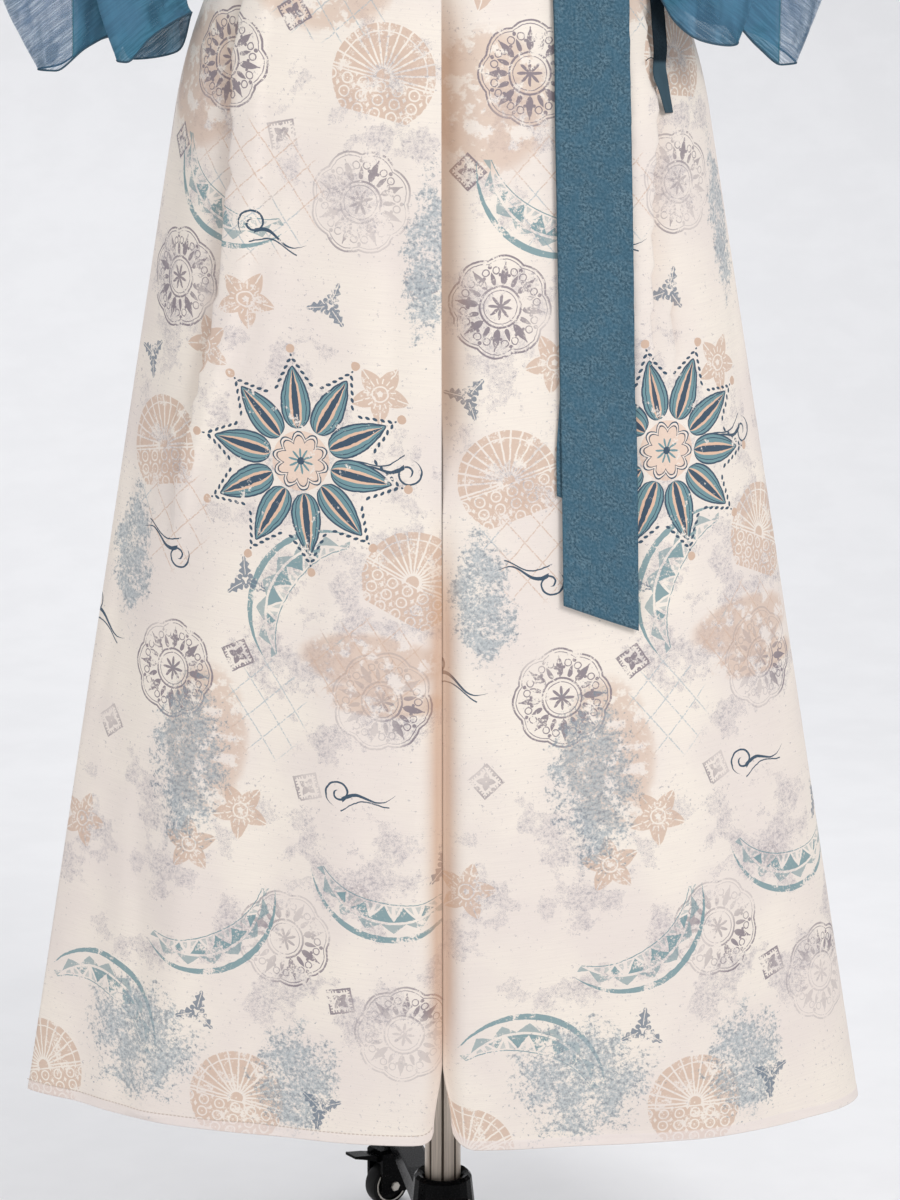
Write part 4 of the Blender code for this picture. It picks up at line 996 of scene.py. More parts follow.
def sash_knot(finish):
    """A flat knot: a rounded pad with slanting folds across it, pinched at its two sides."""
    half_width, depth, _ = skirt_size(("right", "front"), SKIRT_TOP)
    lift = SKIRT_WALL / 2 + SEAM_GAP + SASH_WALL
    turn = math.asin(KNOT_PLACE / half_width)
    out = Vector((math.sin(turn) / half_width, -math.cos(turn) / depth, 0)).normalized()
    on_wrap = Vector(((half_width + lift) * math.sin(turn), -(depth + lift) * math.cos(turn), 0))
    centre = on_wrap + out * (KNOT_LIFT + SEAM_GAP) + Vector((0, 0, SKIRT_TOP + SASH_HEIGHT / 2))
    across = Vector((-out.y, out.x, 0))
    rows, columns = 48, 64
    points, faces = [], []
    for r in range(rows + 1):
        lift_angle = math.pi * r / rows
        for c in range(columns):
            around = 2 * math.pi * c / columns
            x = math.sin(lift_angle) * math.cos(around)
            y = math.sin(lift_angle) * math.sin(around)
            z = math.cos(lift_angle)
            square = sum(abs(part) ** KNOT_SQUARENESS for part in (x, y, z)) ** (1 / KNOT_SQUARENESS)
            x, y, z = x / square, y / square, z / square
            fold = 0.055 * math.sin(13 * (z + 0.35 * x)) * (1 - abs(z) ** 3) * (0.4 + 0.6 * max(0, y))
            scale = 1 + fold - 0.1 * bell(z - 0.1, 0.5) * abs(x)
            deep = KNOT_FRONT if y > 0 else KNOT_BACK
            points.append(centre + across * x * scale * KNOT_HALF_WIDTH + out * y * scale * deep
                          + Vector((0, 0, z * scale * KNOT_HALF_HEIGHT)))
    for r in range(rows):
        for c in range(columns):
            d = (c + 1) % columns
            faces.append((r * columns + c, (r + 1) * columns + c, (r + 1) * columns + d, r * columns + d))
    mesh = mesh_of("sash_knot_pad", points, faces)
    face_out(mesh, 0.00002)
    made = place("sash_knot_pad", mesh, finish)
    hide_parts("sash_knot")
    return made


def form_point(turn, z, gap=0.0):
    """A point of the form at an angle from the centre front, positive to the right, moved out by gap."""
    half_width = read(FORM_RINGS, "half_width", z) + gap
    deep = read(FORM_RINGS, "front" if math.cos(turn) > 0 else "back", z) + gap
    return Vector((half_width * math.sin(turn), -deep * math.cos(turn), z))


def jacket_point(turn, z, lift=0.0):
    return form_point(turn, z, read(JACKET_EASE, "gap", z) + lift)


def armhole_turn(z):
    """Half the angle that the armhole takes at a height, from the side."""
    share = (z - ARMHOLE_CENTRE) / ARMHOLE_HALF
    if abs(share) >= 1:
        return 0.0
    return ARMHOLE_TURN * math.sqrt(1 - share * share)


def outward(turn, z):
    """Level direction square to the form's section."""
    half_width = read(FORM_RINGS, "half_width", z)
    deep = read(FORM_RINGS, "front" if math.cos(turn) > 0 else "back", z)
    return Vector((math.sin(turn) / half_width, -math.cos(turn) / deep, 0)).normalized()


def front_edge_turn(z, back_off=0.0):
    """Angle of the jacket front's edge: straight up the centre, then away to the neck."""
    x = 0.0009 + 0.052 * ease(1.36, 1.63, z) + back_off
    half_width = read(FORM_RINGS, "half_width", z) + read(JACKET_EASE, "gap", z)
    return math.asin(min(0.98, x / half_width))


def jacket_heights():
    below = WAIST_HEIGHTS + (COLLAR_FOOT,) + CHEST_HEIGHTS[:5]
    return below + ARM_HEIGHTS + SHOULDER_HEIGHTS[2:6]


def armhole_point(turn, sign):
    """A point of the armhole's edge, moved out to where the sleeve starts."""
    z = ARMHOLE_CENTRE + ARMHOLE_HALF * math.cos(turn)
    around = math.pi / 2 - ARMHOLE_TURN * math.sin(turn)
    point = jacket_point(around, z) + outward(around, z) * (CHIFFON_WALL + SEAM_GAP)
    point.x *= sign
    return point


def cuff_point(rows, turn, sign):
    degrees = math.degrees(turn)
    if degrees > 180:
        degrees -= 360
    rows += (rows[0]._replace(turn=-180),)
    out, deep, height = (read(rows, column, degrees) for column in ("out", "deep", "height"))
    return Vector((sign * out, deep, height))


# A jacket crease: angle from the front at its top and foot, heights, half width as an angle, rise
FRONT_PULLS = table(
    "top_turn foot_turn top foot half_turn rise",
    (0.42, 0.25, 1.4, 1.2, 0.035, 0.0016), (0.62, 0.48, 1.36, 1.19, 0.04, -0.0014),
    (0.86, 0.7, 1.42, 1.19, 0.036, 0.0018), (1.12, 0.98, 1.38, 1.2, 0.045, -0.0015),
    (1.32, 1.26, 1.43, 1.19, 0.036, 0.0014), (1.0, 0.72, 1.58, 1.44, 0.05, -0.0012),
)
BACK_PULLS = table(
    "top_turn foot_turn top foot half_turn rise",
    (1.8, 1.92, 1.42, 1.19, 0.04, 0.0016), (2.08, 2.22, 1.38, 1.2, 0.042, -0.0015),
    (2.4, 2.5, 1.44, 1.19, 0.038, 0.0018), (2.76, 2.8, 1.36, 1.2, 0.042, -0.0014),
    (2.96, 3.02, 1.46, 1.22, 0.036, 0.0012), (2.1, 2.5, 1.58, 1.5, 0.06, -0.0012),
)


def pull_rise(pulls, turn, z):
    rise = 0.0
    for pull in pulls:
        if pull.foot < z < pull.top:
            way = (pull.top - z) / (pull.top - pull.foot)
            middle = part_way(pull.top_turn, pull.foot_turn, way)
            fade = ease(0.0, 0.45, way) * (1 - 0.5 * ease(0.8, 1.0, way))
            rise += pull.rise * fade * bell(turn - middle, pull.half_turn)
    return rise * ease(1.24, 1.3, z)


NECK_TUCK = 0.006
FRONT_COLUMNS = 48
BACK_COLUMNS = 90
COLLAR_COLUMNS = 8
COLLAR_LIFT = 0.0024
COLLAR_CROWN = 0.0003
ARMHOLE_GAP = 0.002
JACKET_ROW = 0.005


def fine_heights():
    heights = sorted(set(jacket_heights()))
    lines = []
    for a, b in zip(heights, heights[1:]):
        steps = max(1, round((b - a) / JACKET_ROW))
        lines += [a + (b - a) * i / steps for i in range(steps)]
    top = heights[-1]
    return lines + [top, top + NECK_TUCK / 2, top + NECK_TUCK]


def jacket_front(side, finish):
    sign = 1 if side == "right" else -1
    grid = []
    for z in reversed(fine_heights()):
        first = front_edge_turn(z)
        last = math.pi / 2 - armhole_turn(z) - ARMHOLE_GAP
        turns = [first + (last - first) * i / FRONT_COLUMNS for i in range(FRONT_COLUMNS + 1)]
        grid.append([jacket_point(sign * turn, z, pull_rise(FRONT_PULLS, turn, z)) for turn in turns])
    made = shell(f"jacket_front_{side}", grid, CHIFFON_SHELL, finish)
    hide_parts(f"jacket_{side}_front")


def jacket_back(finish):
    grid = []
    for z in reversed(fine_heights()):
        first = math.pi / 2 + armhole_turn(z) + ARMHOLE_GAP
        turns = [first + (2 * math.pi - 2 * first) * i / BACK_COLUMNS for i in range(BACK_COLUMNS + 1)]
        line = []
        for turn in turns:
            folded = turn if turn <= math.pi else 2 * math.pi - turn
            line.append(jacket_point(turn, z, pull_rise(BACK_PULLS, folded, z)))
        grid.append(line)
    made = shell("jacket_back_panel", grid, CHIFFON_SHELL, finish)
    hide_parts("jacket_back")


def collar(finish):
    """One band up each front edge and round the back of the neck, on the jacket's points moved out."""
    lift = CHIFFON_WALL / 2 + SEAM_GAP + COLLAR_LIFT
    edges = []
    for z in (COLLAR_FOOT,) + CHEST_HEIGHTS[:6] + ARM_HEIGHTS[3:4] + SHOULDER_HEIGHTS[:2]:
        edges.append((front_edge_turn(z), z, front_edge_turn(z, COLLAR_WIDTH), z))
    for turn in COLLAR_STATIONS:
        height, outer_turn, outer_height = (
            read(COLLAR_NECK, column, turn) for column in ("inner_height", "outer_turn", "outer_height")
        )
        edges.append((math.radians(turn), height, math.radians(outer_turn), outer_height))
    edges += [(2 * math.pi - a, b, 2 * math.pi - c, d) for a, b, c, d in reversed(edges[:-1])]
    edges = smooth([Vector(edge) for edge in edges], 5)
    grid = []
    for inner_turn, inner_z, outer_turn, outer_z in edges:
        line = []
        for c in range(COLLAR_COLUMNS + 1):
            turn = inner_turn + (outer_turn - inner_turn) * c / COLLAR_COLUMNS
            z = inner_z + (outer_z - inner_z) * c / COLLAR_COLUMNS
            line.append(jacket_point(turn, z, lift + COLLAR_CROWN * math.sin(math.pi * c / COLLAR_COLUMNS)))
        grid.append(line)
    made = shell("collar_band", grid, BAND_SHELL, finish)
    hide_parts("jacket_collar")


def sleeve_turns(cuff, steps):
    """Angles of the sleeve's columns, with steps between the cuff's own rows."""
    rows = [row.turn for row in cuff]
    rows.append(rows[0] - 360)
    return [math.radians(a + (b - a) * k / steps) for a, b in zip(rows, rows[1:]) for k in range(steps)]


# Sleeve creases: share round and share down at their tops and feet, half width round, rise
SLEEVE_DRAPES = table(
    "top_round foot_round top foot half rise",
    (0.1, 0.13, 0.3, 0.99, 0.012, 0.0022), (0.2, 0.17, 0.4, 0.98, 0.01, -0.0018),
    (0.27, 0.3, 0.22, 0.96, 0.013, 0.002), (0.38, 0.36, 0.45, 1.0, 0.011, -0.0018),
    (0.47, 0.5, 0.26, 0.97, 0.014, 0.0024), (0.58, 0.56, 0.38, 1.0, 0.012, -0.002),
    (0.68, 0.7, 0.2, 0.99, 0.014, 0.0024), (0.79, 0.76, 0.42, 0.98, 0.012, -0.002),
    (0.9, 0.92, 0.28, 0.99, 0.013, 0.0022),
)


def sleeve_rise(r, c, point):
    rise = 0.0
    for drape in SLEEVE_DRAPES:
        if drape.top < r <= drape.foot:
            way = (r - drape.top) / (drape.foot - drape.top)
            middle = part_way(drape.top_round, drape.foot_round, way)
            near = abs(c - middle)
            near = min(near, 1 - near)
            fade = ease(0.0, 0.35, way) * (1 - ease(0.85, 1.0, way))
            rise += drape.rise * fade * bell(near, drape.half)
    crinkle = noise.noise(Vector((c * 60, point.z * 90 + c * 30, point.x * 40)))
    return rise + 0.0004 * crinkle * ease(0.05, 0.15, r) * (1 - ease(0.97, 1.0, r))


CUFF_HALF_WIDE = 0.062
TURN_STEPS = 9
SLEEVE_ROW_STEPS = 11
SLEEVE_HEM_RADIUS = 0.0008


def sleeve(side, finish, hem_finish):
    sign = 1 if side == "right" else -1
    rows = SLEEVE_RIGHT if side == "right" else SLEEVE_LEFT
    cuff = CUFF_RIGHT if side == "right" else CUFF_LEFT
    turns = sleeve_turns(cuff, TURN_STEPS)
    grid = [[armhole_point(turn, sign) for turn in turns]]
    cuff_middle = sum((cuff_point(cuff, turn, sign) for turn in turns), Vector()) / len(turns)
    for row in rows:
        tilt = math.radians(row.tilt)
        outer = Vector((sign * math.sin(tilt), 0, math.cos(tilt)))
        centre = Vector((sign * row.out, row.deep, row.height))
        line = []
        for turn in turns:
            oval = centre + outer * row.half_wide * math.cos(turn)
            oval.y -= row.half_deep * math.sin(turn)
            folded = cuff_point(cuff, turn, sign) - cuff_middle
            folded.x *= row.half_wide / CUFF_HALF_WIDE
            folded.z = 0
            line.append(oval.lerp(centre + folded, row.cuff))
        grid.append(line)
    grid.append([cuff_point(cuff, turn, sign) for turn in turns])
    grid = smooth_rows(grid, SLEEVE_ROW_STEPS)
    grid = raised(grid, sleeve_rise, closed=True)
    made = shell(f"{side}_sleeve", grid, CHIFFON_SHELL, finish, closed=True)
    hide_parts(f"sleeve_{side}")
    hem = tube(f"{side}_sleeve_hem", grid[-1], SLEEVE_HEM_RADIUS, hem_finish, closed=True)


FORM_COLUMNS = 112
FORM_ROW = 0.008
FORM_SEAMS = (0.0, 0.62, 1.57, 2.52, math.pi, 3.76, 4.71, 5.66, 2 * math.pi)
FORM_SEAM_DEPTH = 0.001
FORM_SEAM_SHARPNESS = 40


def dress_form(finish):
    """The form's cover, with a seam down each princess line and down the middle."""
    heights = FORM_FOOT_HEIGHTS + WAIST_HEIGHTS + CHEST_HEIGHTS + SHOULDER_HEIGHTS + (FORM_RINGS[-1].height,)
    fine = []
    for a, b in zip(heights, heights[1:]):
        steps = max(1, round((b - a) / FORM_ROW))
        fine += [a + (b - a) * i / steps for i in range(steps)]
    fine.append(heights[-1])
    grid = []
    for z in fine:
        tuck = -FOOT_ROUNDING * (1 - ease(FORM_FOOT_HEIGHTS[0], FORM_FOOT_HEIGHTS[2], z))
        line = []
        for i in range(FORM_COLUMNS):
            turn = 2 * math.pi * i / FORM_COLUMNS
            seam = 0.0
            for at in FORM_SEAMS:
                seam -= FORM_SEAM_DEPTH * math.exp(-(((turn - at) * FORM_SEAM_SHARPNESS) ** 2))
            line.append(form_point(turn, z, tuck + seam))
        grid.append(line)
    faces = quads(len(grid), FORM_COLUMNS) + end_faces(len(grid), FORM_COLUMNS)
    mesh = mesh_of("form_cover", [p for row in grid for p in row], faces)
    made = place("form_cover", mesh, finish)
    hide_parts("form_torso")


def pole(finish):
    """A round tube with rounded grooves down it."""
    outline, grooves = [], []
    for k in range(POLE_SIDES):
        turn = 2 * math.pi * k / POLE_SIDES
        flute = 2 * math.pi / POLE_FLUTES
        off = (turn + flute / 2) % flute - flute / 2
        groove = bell(off, FLUTE_HALF)
        radius = POLE_RADIUS * (1 - FLUTE_DEPTH * groove)
        outline.append((radius * math.sin(turn), -radius * math.cos(turn)))
        grooves.append(groove)
    foot, top = POLE_FOOT, FORM_RINGS[0].height - SEAM_GAP
    levels = (foot, 0.3, 0.6, top)
    points = [(x, y, z) for z in levels for x, y in outline]
    faces = quads(len(levels), POLE_SIDES) + end_faces(len(levels), POLE_SIDES)
    made = place("fluted_pole", mesh_of("fluted_pole", points, faces), finish)
    set_numbers(made, "groove", grooves * len(levels))
    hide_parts("stand_pole")


EDGE_SOFTNESS = 0.0006


def dressed(node, finish):
    """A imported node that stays, with its edges softened and its own finish."""
    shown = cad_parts[node]
    for holder in shown.material_slots:
        holder.material = finish
    if not shown.material_slots:
        shown.data.materials.append(finish)
    soft = shown.modifiers.new("Softened edges", "BEVEL")
    soft.width = EDGE_SOFTNESS
    soft.segments = 2
    soft.limit_method = "ANGLE"
    soft.harden_normals = False


def local_place(number):
    """From the caster's own frame, axle along X and trailing along Y, to the row's frame."""
    turn = LEG_TURN + 2 * math.pi * number / LEGS
    at = Vector((-math.sin(turn), math.cos(turn), 0)) * LEG_RADIUS
    heading = Matrix.Rotation(2 * math.pi * number / LEGS, 3, "Z") @ CASTER_HEADING
    swivel = Matrix.Translation(at) @ Matrix.Rotation(math.atan2(-heading.x, heading.y), 4, "Z")
    return swivel @ Matrix.Translation((0, CASTER_OFFSET, WHEEL_RADIUS))


WHEEL_STEPS = 96
BOLT_SIDES = 6


def lathe_x(name, profile, steps, finish, body, where):
    """A closed profile of (radius, along X) turned about X, then put in place."""
    points, faces = [], []
    for k in range(steps):
        turn = 2 * math.pi * k / steps
        points += [(x, radius * math.cos(turn), radius * math.sin(turn)) for radius, x in profile]
    count = len(profile)
    for k in range(steps):
        m = (k + 1) % steps
        for i in range(count):
            j = (i + 1) % count
            faces.append((k * count + i, m * count + i, m * count + j, k * count + j))
    mesh = mesh_of(name, points, faces)
    face_out(mesh)
    mesh.transform(where)
    made = place(name, mesh, finish, body)
    mesh.set_sharp_from_angle(angle=math.radians(35))
    return made


# Radius and distance out: the tyre's inward from its face, the ring from it, the bolt from the fork
TYRE = (
    (0.0042, 0.0012), (0.012, 0.0026), (0.0142, 0.0026), (0.015, 0.0004), (0.0172, 0.0004), (0.0192, 0.0016),
    (0.02, 0.004),
)
RING = ((0.0146, -0.0006), (0.0146, 0.0001), (0.0156, 0.0002), (0.016, -0.0002), (0.016, -0.0006))
BOLT = ((0.0, 0.0004), (0.0044, 0.0004), (0.0044, 0.0022), (0.0036, 0.0028), (0.0, 0.0028))


def tyre_profile():
    half = WHEEL_WIDTH / 2
    right = [(radius, half - inward) for radius, inward in TYRE]
    return right + [(radius, -out) for radius, out in reversed(right)]


def caster(number, plastic, rubber, zinc):
    """Round wheel with a raised rim ring, a bolt on the axle and a pronged brake pedal."""
    where = local_place(number)
    dressed(f"caster_{number}_fork", plastic)
    dressed(f"caster_{number}_brake", plastic)
    wheel = lathe_x(
        f"caster_{number}_tyre", tyre_profile(), WHEEL_STEPS, rubber, f"wheel_{number}", where)
    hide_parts(f"caster_{number}_wheel")
    for label, side in (("inner", -1), ("outer", 1)):
        ring = [(radius, side * (WHEEL_WIDTH / 2 + out)) for radius, out in RING]
        lathe_x(f"caster_{number}_ring_{label}", ring, WHEEL_STEPS, zinc, f"wheel_{number}", where)
        head = [(radius, side * (FORK_HALF + out)) for radius, out in BOLT]
        lathe_x(f"caster_{number}_bolt_{label}", head, BOLT_SIDES, zinc, f"fork_{number}", where)


def stand(steel, plastic, rubber, zinc, wood):
    pole(steel)
    dressed("stand_hub", plastic)
    dressed("stand_clamp_screw", zinc)
    dressed("form_neck_cap", wood)
    for number in range(LEGS):
        dressed(f"stand_leg_{number}", plastic)
        caster(number, plastic, rubber, zinc)


# Stage
SWEEP_START = 1.9
SWEEP_RADIUS = 3.2
SWEEP_TURN = math.radians(36)
SWEEP_STEPS = 20
SWEEP_RISE = 0.42
SWEEP_HALF = 9.0


def stage():
    """A pale floor that sweeps up a little way behind, just past the top of the picture."""
    turns = [SWEEP_TURN * i / SWEEP_STEPS for i in range(1, SWEEP_STEPS + 1)]
    profile = [(-SWEEP_HALF, 0.0), (0.0, 0.0), (SWEEP_START, 0.0)]
    for turn in turns:
        profile.append((SWEEP_START + SWEEP_RADIUS * math.sin(turn), SWEEP_RADIUS * (1 - math.cos(turn))))
    end_y, end_z = profile[-1]
    profile.append((end_y + SWEEP_RISE / math.tan(SWEEP_TURN), end_z + SWEEP_RISE))
    points = [(x, y, z) for y, z in profile for x in (-SWEEP_HALF, 0.0, SWEEP_HALF)]
    faces = [(3 * i + c, 3 * i + c + 1, 3 * i + c + 4, 3 * i + c + 3)
             for i in range(len(profile) - 1) for c in range(2)]
    mesh = mesh_of("sweep", points, faces)
    mesh.shade_smooth()
    floor = in_scene("sweep", mesh)
    mesh.materials.append(plain("Pale sweep"))


def lamp(name, spot, target, size, power):
    light = bpy.data.lights.new(name, "AREA")
    light.shape = "RECTANGLE"
    light.size, light.size_y = size
    light.energy = power
    made = in_scene(name, light)
    made.location = spot
    made.rotation_euler = (Vector(target) - Vector(spot)).to_track_quat("-Z", "Y").to_euler()


FOCAL_LENGTH = 100
SENSOR_WIDTH = 36
CAMERA_PLACE = (0.006, -2.6, 1.175)
CAMERA_TILT = math.radians(12.26)
WORLD_COLOUR = (0.93, 0.94, 0.97, 1)
WORLD_STRENGTH = 0.56


def studio():
    stage()
    lens = bpy.data.cameras.new("camera")
    lens.lens = FOCAL_LENGTH
    lens.sensor_width = SENSOR_WIDTH
    camera = in_scene("camera", lens)
    camera.location = CAMERA_PLACE
    camera.rotation_euler = (math.pi / 2 - CAMERA_TILT, 0, 0)
    bpy.context.scene.camera = camera
    lamp("key", (1.9, -2.9, 2.7), (0, 0, 0.7), (1.3, 1.6), 80)
    lamp("fill", (-2.8, -2.6, 1.6), (0, 0, 0.6), (2.0, 2.6), 31)
    lamp("back", (-0.7, 1.1, 3.3), (-0.3, 2.8, 0.5), (3.2, 1.4), 50)
    world = bpy.data.worlds.new("studio")
    world.use_nodes = True
    sky = world.node_tree.nodes["Background"]
    sky.inputs["Color"].default_value = WORLD_COLOUR
    sky.inputs["Strength"].default_value = WORLD_STRENGTH
    bpy.context.scene.world = world
    bpy.context.scene.view_settings.view_transform = "Standard"


# Materials, as arithmetic on node sockets
def operator(operation, swapped=False):
    """A method that adds one Math node, with the values in their order or the term last."""
    def method(self, *values):
        return self.op(operation, *((*values, self) if swapped else (self, *values)))
    return method


class Term:
    """A number in a material's node tree. Arithmetic on it adds Math nodes, and a comparison gives 0 or 1."""

    def __init__(self, tree, socket):
        self.tree = tree
        self.socket = socket

    def op(self, operation, *values):
        node = self.tree.nodes.new("ShaderNodeMath")
        node.operation = operation
        for plug, value in zip(node.inputs, values):
            connect(value, plug)
        return Term(self.tree, node.outputs[0])

    __add__ = __radd__ = operator("ADD")
    __sub__ = operator("SUBTRACT")
    __rsub__ = operator("SUBTRACT", swapped=True)
    __mul__ = __rmul__ = __and__ = operator("MULTIPLY")
    __truediv__ = operator("DIVIDE")
    __pow__ = operator("POWER")
    __abs__ = operator("ABSOLUTE")
    __lt__ = operator("LESS_THAN")
    __gt__ = operator("GREATER_THAN")
    __or__ = operator("MAXIMUM")
    sin = operator("SINE")
    cos = operator("COSINE")
    least = operator("MINIMUM")
    # Distance to the nearest multiple of twice the span
    folded = operator("PINGPONG")
    # Angle of a place whose sideways part is the term and whose upward part is given
    angle_to = operator("ARCTAN2", swapped=True)

    def step(self, low, high, start=0.0, end=1.0):
        """Start at low and end at high, smooth between."""
        node = self.tree.nodes.new("ShaderNodeMapRange")
        node.interpolation_type = "SMOOTHSTEP"
        for plug, value in zip(node.inputs, (self, low, high, start, end)):
            connect(value, plug)
        return Term(self.tree, node.outputs[0])

    def between(self, low, high):
        return (self > low) & (self < high)


def connect(value, plug):
    if isinstance(value, Term):
        value.tree.links.new(value.socket, plug)
    else:
        plug.default_value = value


def vector_op(operation, first, second, output=0):
    node = first.tree.nodes.new("ShaderNodeVectorMath")
    node.operation = operation
    for plug, value in zip(node.inputs, (first, second)):
        connect(value, plug)
    return Term(first.tree, node.outputs[output])


def mixed(share, first, second, kind="RGBA"):
    """First at share 0 and second at 1. The kind is RGBA or VECTOR."""
    node = share.tree.nodes.new("ShaderNodeMix")
    node.data_type = kind
    node.clamp_factor = False
    places = {"VECTOR": (4, 5, 1), "RGBA": (6, 7, 2)}[kind]
    connect(share, node.inputs[0])
    connect(first, node.inputs[places[0]])
    connect(second, node.inputs[places[1]])
    return Term(share.tree, node.outputs[places[2]])


def apart(x, y, u=0.0, v=0.0):
    """Distance of the place x, y from the point u, v."""
    return vector_op("DISTANCE", combine(x, y, 0.0), (u, v, 0.0), 1)


def separate(vector):
    node = vector.tree.nodes.new("ShaderNodeSeparateXYZ")
    connect(vector, node.inputs[0])
    return [Term(vector.tree, plug) for plug in node.outputs]


def combine(*values):
    node = values[0].tree.nodes.new("ShaderNodeCombineXYZ")
    for plug, value in zip(node.inputs, values):
        connect(value, plug)
    return Term(values[0].tree, node.outputs[0])


def noise_of(vector, scale, detail=3.0, roughness=0.5, distortion=0.0):
    node = vector.tree.nodes.new("ShaderNodeTexNoise")
    for name, value in (("Vector", vector), ("Scale", scale), ("Detail", detail), ("Roughness", roughness),
                        ("Distortion", distortion)):
        connect(value, node.inputs[name])
    return Term(vector.tree, node.outputs[0])


def attribute(tree, name, output="Vector"):
    node = tree.nodes.new("ShaderNodeAttribute")
    node.attribute_name = name
    return Term(tree, node.outputs[output])


def bumped(shader, height, strength, distance):
    bump = height.tree.nodes.new("ShaderNodeBump")
    bump.inputs["Strength"].default_value = strength
    bump.inputs["Distance"].default_value = distance
    connect(height, bump.inputs["Height"])
    height.tree.links.new(bump.outputs[0], shader.inputs["Normal"])


def object_place(tree):
    """Where a point lies in its object's own frame."""
    return Term(tree, tree.nodes.new("ShaderNodeTexCoord").outputs["Object"])


def new_material(name, roughness, specular):
    made = bpy.data.materials.new(name)
    made.use_nodes = True
    shader = made.node_tree.nodes["Principled BSDF"]
    shader.inputs["Roughness"].default_value = roughness
    shader.inputs["Specular IOR Level"].default_value = specular
    return made, made.node_tree, shader


# Plain finishes: two tones, grains per metre along each axis, roughness, relief, metal, gloss
PLAIN = {
    "Hem thread": ((0.56, 0.47, 0.41), (0.66, 0.57, 0.5), (3000, 3000, 3000), 0.7, 0.00005, 0.0, 0.5),
    "Rolled hem": ((0.014, 0.046, 0.075), (0.026, 0.075, 0.115), (1500, 1500, 1500), 0.7, 0.0001, 0.0, 0.5),
    "Dark tie": ((0.004, 0.01, 0.016), (0.012, 0.022, 0.03), (1400, 1400, 500), 0.75, 0.0001, 0.0, 0.12),
    "Form cover": ((0.54, 0.5, 0.45), (0.68, 0.64, 0.58), (1900, 1900, 700), 0.9, 0.0001, 0.0, 0.5),
    "Fluted steel": ((0.66, 0.56, 0.47), (0.84, 0.73, 0.62), (900, 900, 14), 0.42, 0.00004, 0.3, 0.5),
    "Black plastic": (
        (0.0015, 0.0015, 0.0017), (0.004, 0.004, 0.0045), (700, 700, 700), 0.24, 0.00003, 0.0, 0.05),
    "Caster tread": (
        (0.006, 0.006, 0.006), (0.012, 0.012, 0.012), (1200, 1200, 1200), 0.45, 0.00004, 0.0, 0.15),
    "Zinc": ((0.6, 0.56, 0.5), (0.74, 0.7, 0.64), (500, 500, 2500), 0.34, 0.00003, 0.7, 0.5),
    "Neck cap": ((0.03, 0.018, 0.012), (0.08, 0.048, 0.03), (60, 900, 60), 0.45, 0.0001, 0.0, 0.5),
    "Pale sweep": ((0.85, 0.85, 0.862), (0.87, 0.87, 0.882), (9, 9, 9), 0.9, 0.0001, 0.0, 0.1),
}


def plain(name):
    """Colour between two tones by a stretched grain, with its relief."""
    low, high, stretch, roughness, depth, metallic, specular = PLAIN[name]
    made, tree, shader = new_material(name, roughness, specular)
    at = vector_op("MULTIPLY", object_place(tree), stretch)
    grain = noise_of(at, 1.0, 3.0, 0.6)
    colour = mixed(grain.step(0.36, 0.64), (*low, 1), (*high, 1))
    connect(colour, shader.inputs["Base Color"])
    connect(grain.step(0.3, 0.7, roughness - 0.06, roughness + 0.06), shader.inputs["Roughness"])
    shader.inputs["Metallic"].default_value = metallic
    bumped(shader, grain, 0.5, depth)
    return made


FLUTE_SHADE_TONE = (0.06, 0.042, 0.028, 1)


def fluted_steel():
    """Warm grey tube, drawn lengthwise, with shade painted dark into its grooves."""
    made = plain("Fluted steel")
    tree = made.node_tree
    shader = tree.nodes["Principled BSDF"]
    drawn = Term(tree, shader.inputs["Base Color"].links[0].from_socket)
    # Painted shade: the grooves are darkened almost to black
    groove = attribute(tree, "groove", "Fac").step(0.22, 0.62)
    connect(mixed(groove * 0.92, drawn, FLUTE_SHADE_TONE), shader.inputs["Base Color"])
    return made


RIBBON_SHEEN_TONE = (0.052, 0.094, 0.122, 1)


def ribbon():
    """Dark ribbon whose other face, turned out below the twist, is painted a little lighter for its sheen."""
    made = plain("Dark tie")
    tree = made.node_tree
    shader = tree.nodes["Principled BSDF"]
    dark = Term(tree, shader.inputs["Base Color"].links[0].from_socket)
    height = separate(object_place(tree))[2]
    # Painted sheen: below the twist the ribbon is painted lighter
    sheen_side = height.step(TWIST_HEIGHT - 0.003, TWIST_HEIGHT + 0.001, 1.0, 0.0)
    connect(mixed(sheen_side * 0.8, dark, RIBBON_SHEEN_TONE), shader.inputs["Base Color"])
    return made


def cut_place(tree):
    """Where a point lies on the flat cloth as it was cut, in millimetres."""
    return vector_op("MULTIPLY", attribute(tree, "flat"), (1000.0, 1000.0, 0.0))


SASH_DARK = (0.03, 0.072, 0.104, 1)
SASH_LIGHT = (0.112, 0.196, 0.25, 1)
SASH_MOTTLE = (0.046, 0.124, 0.184, 1)
SASH_WOVEN = (0.03, 0.08, 0.118, 1)
SASH_CREASE_HIGHLIGHT = (0.12, 0.2, 0.245, 1)


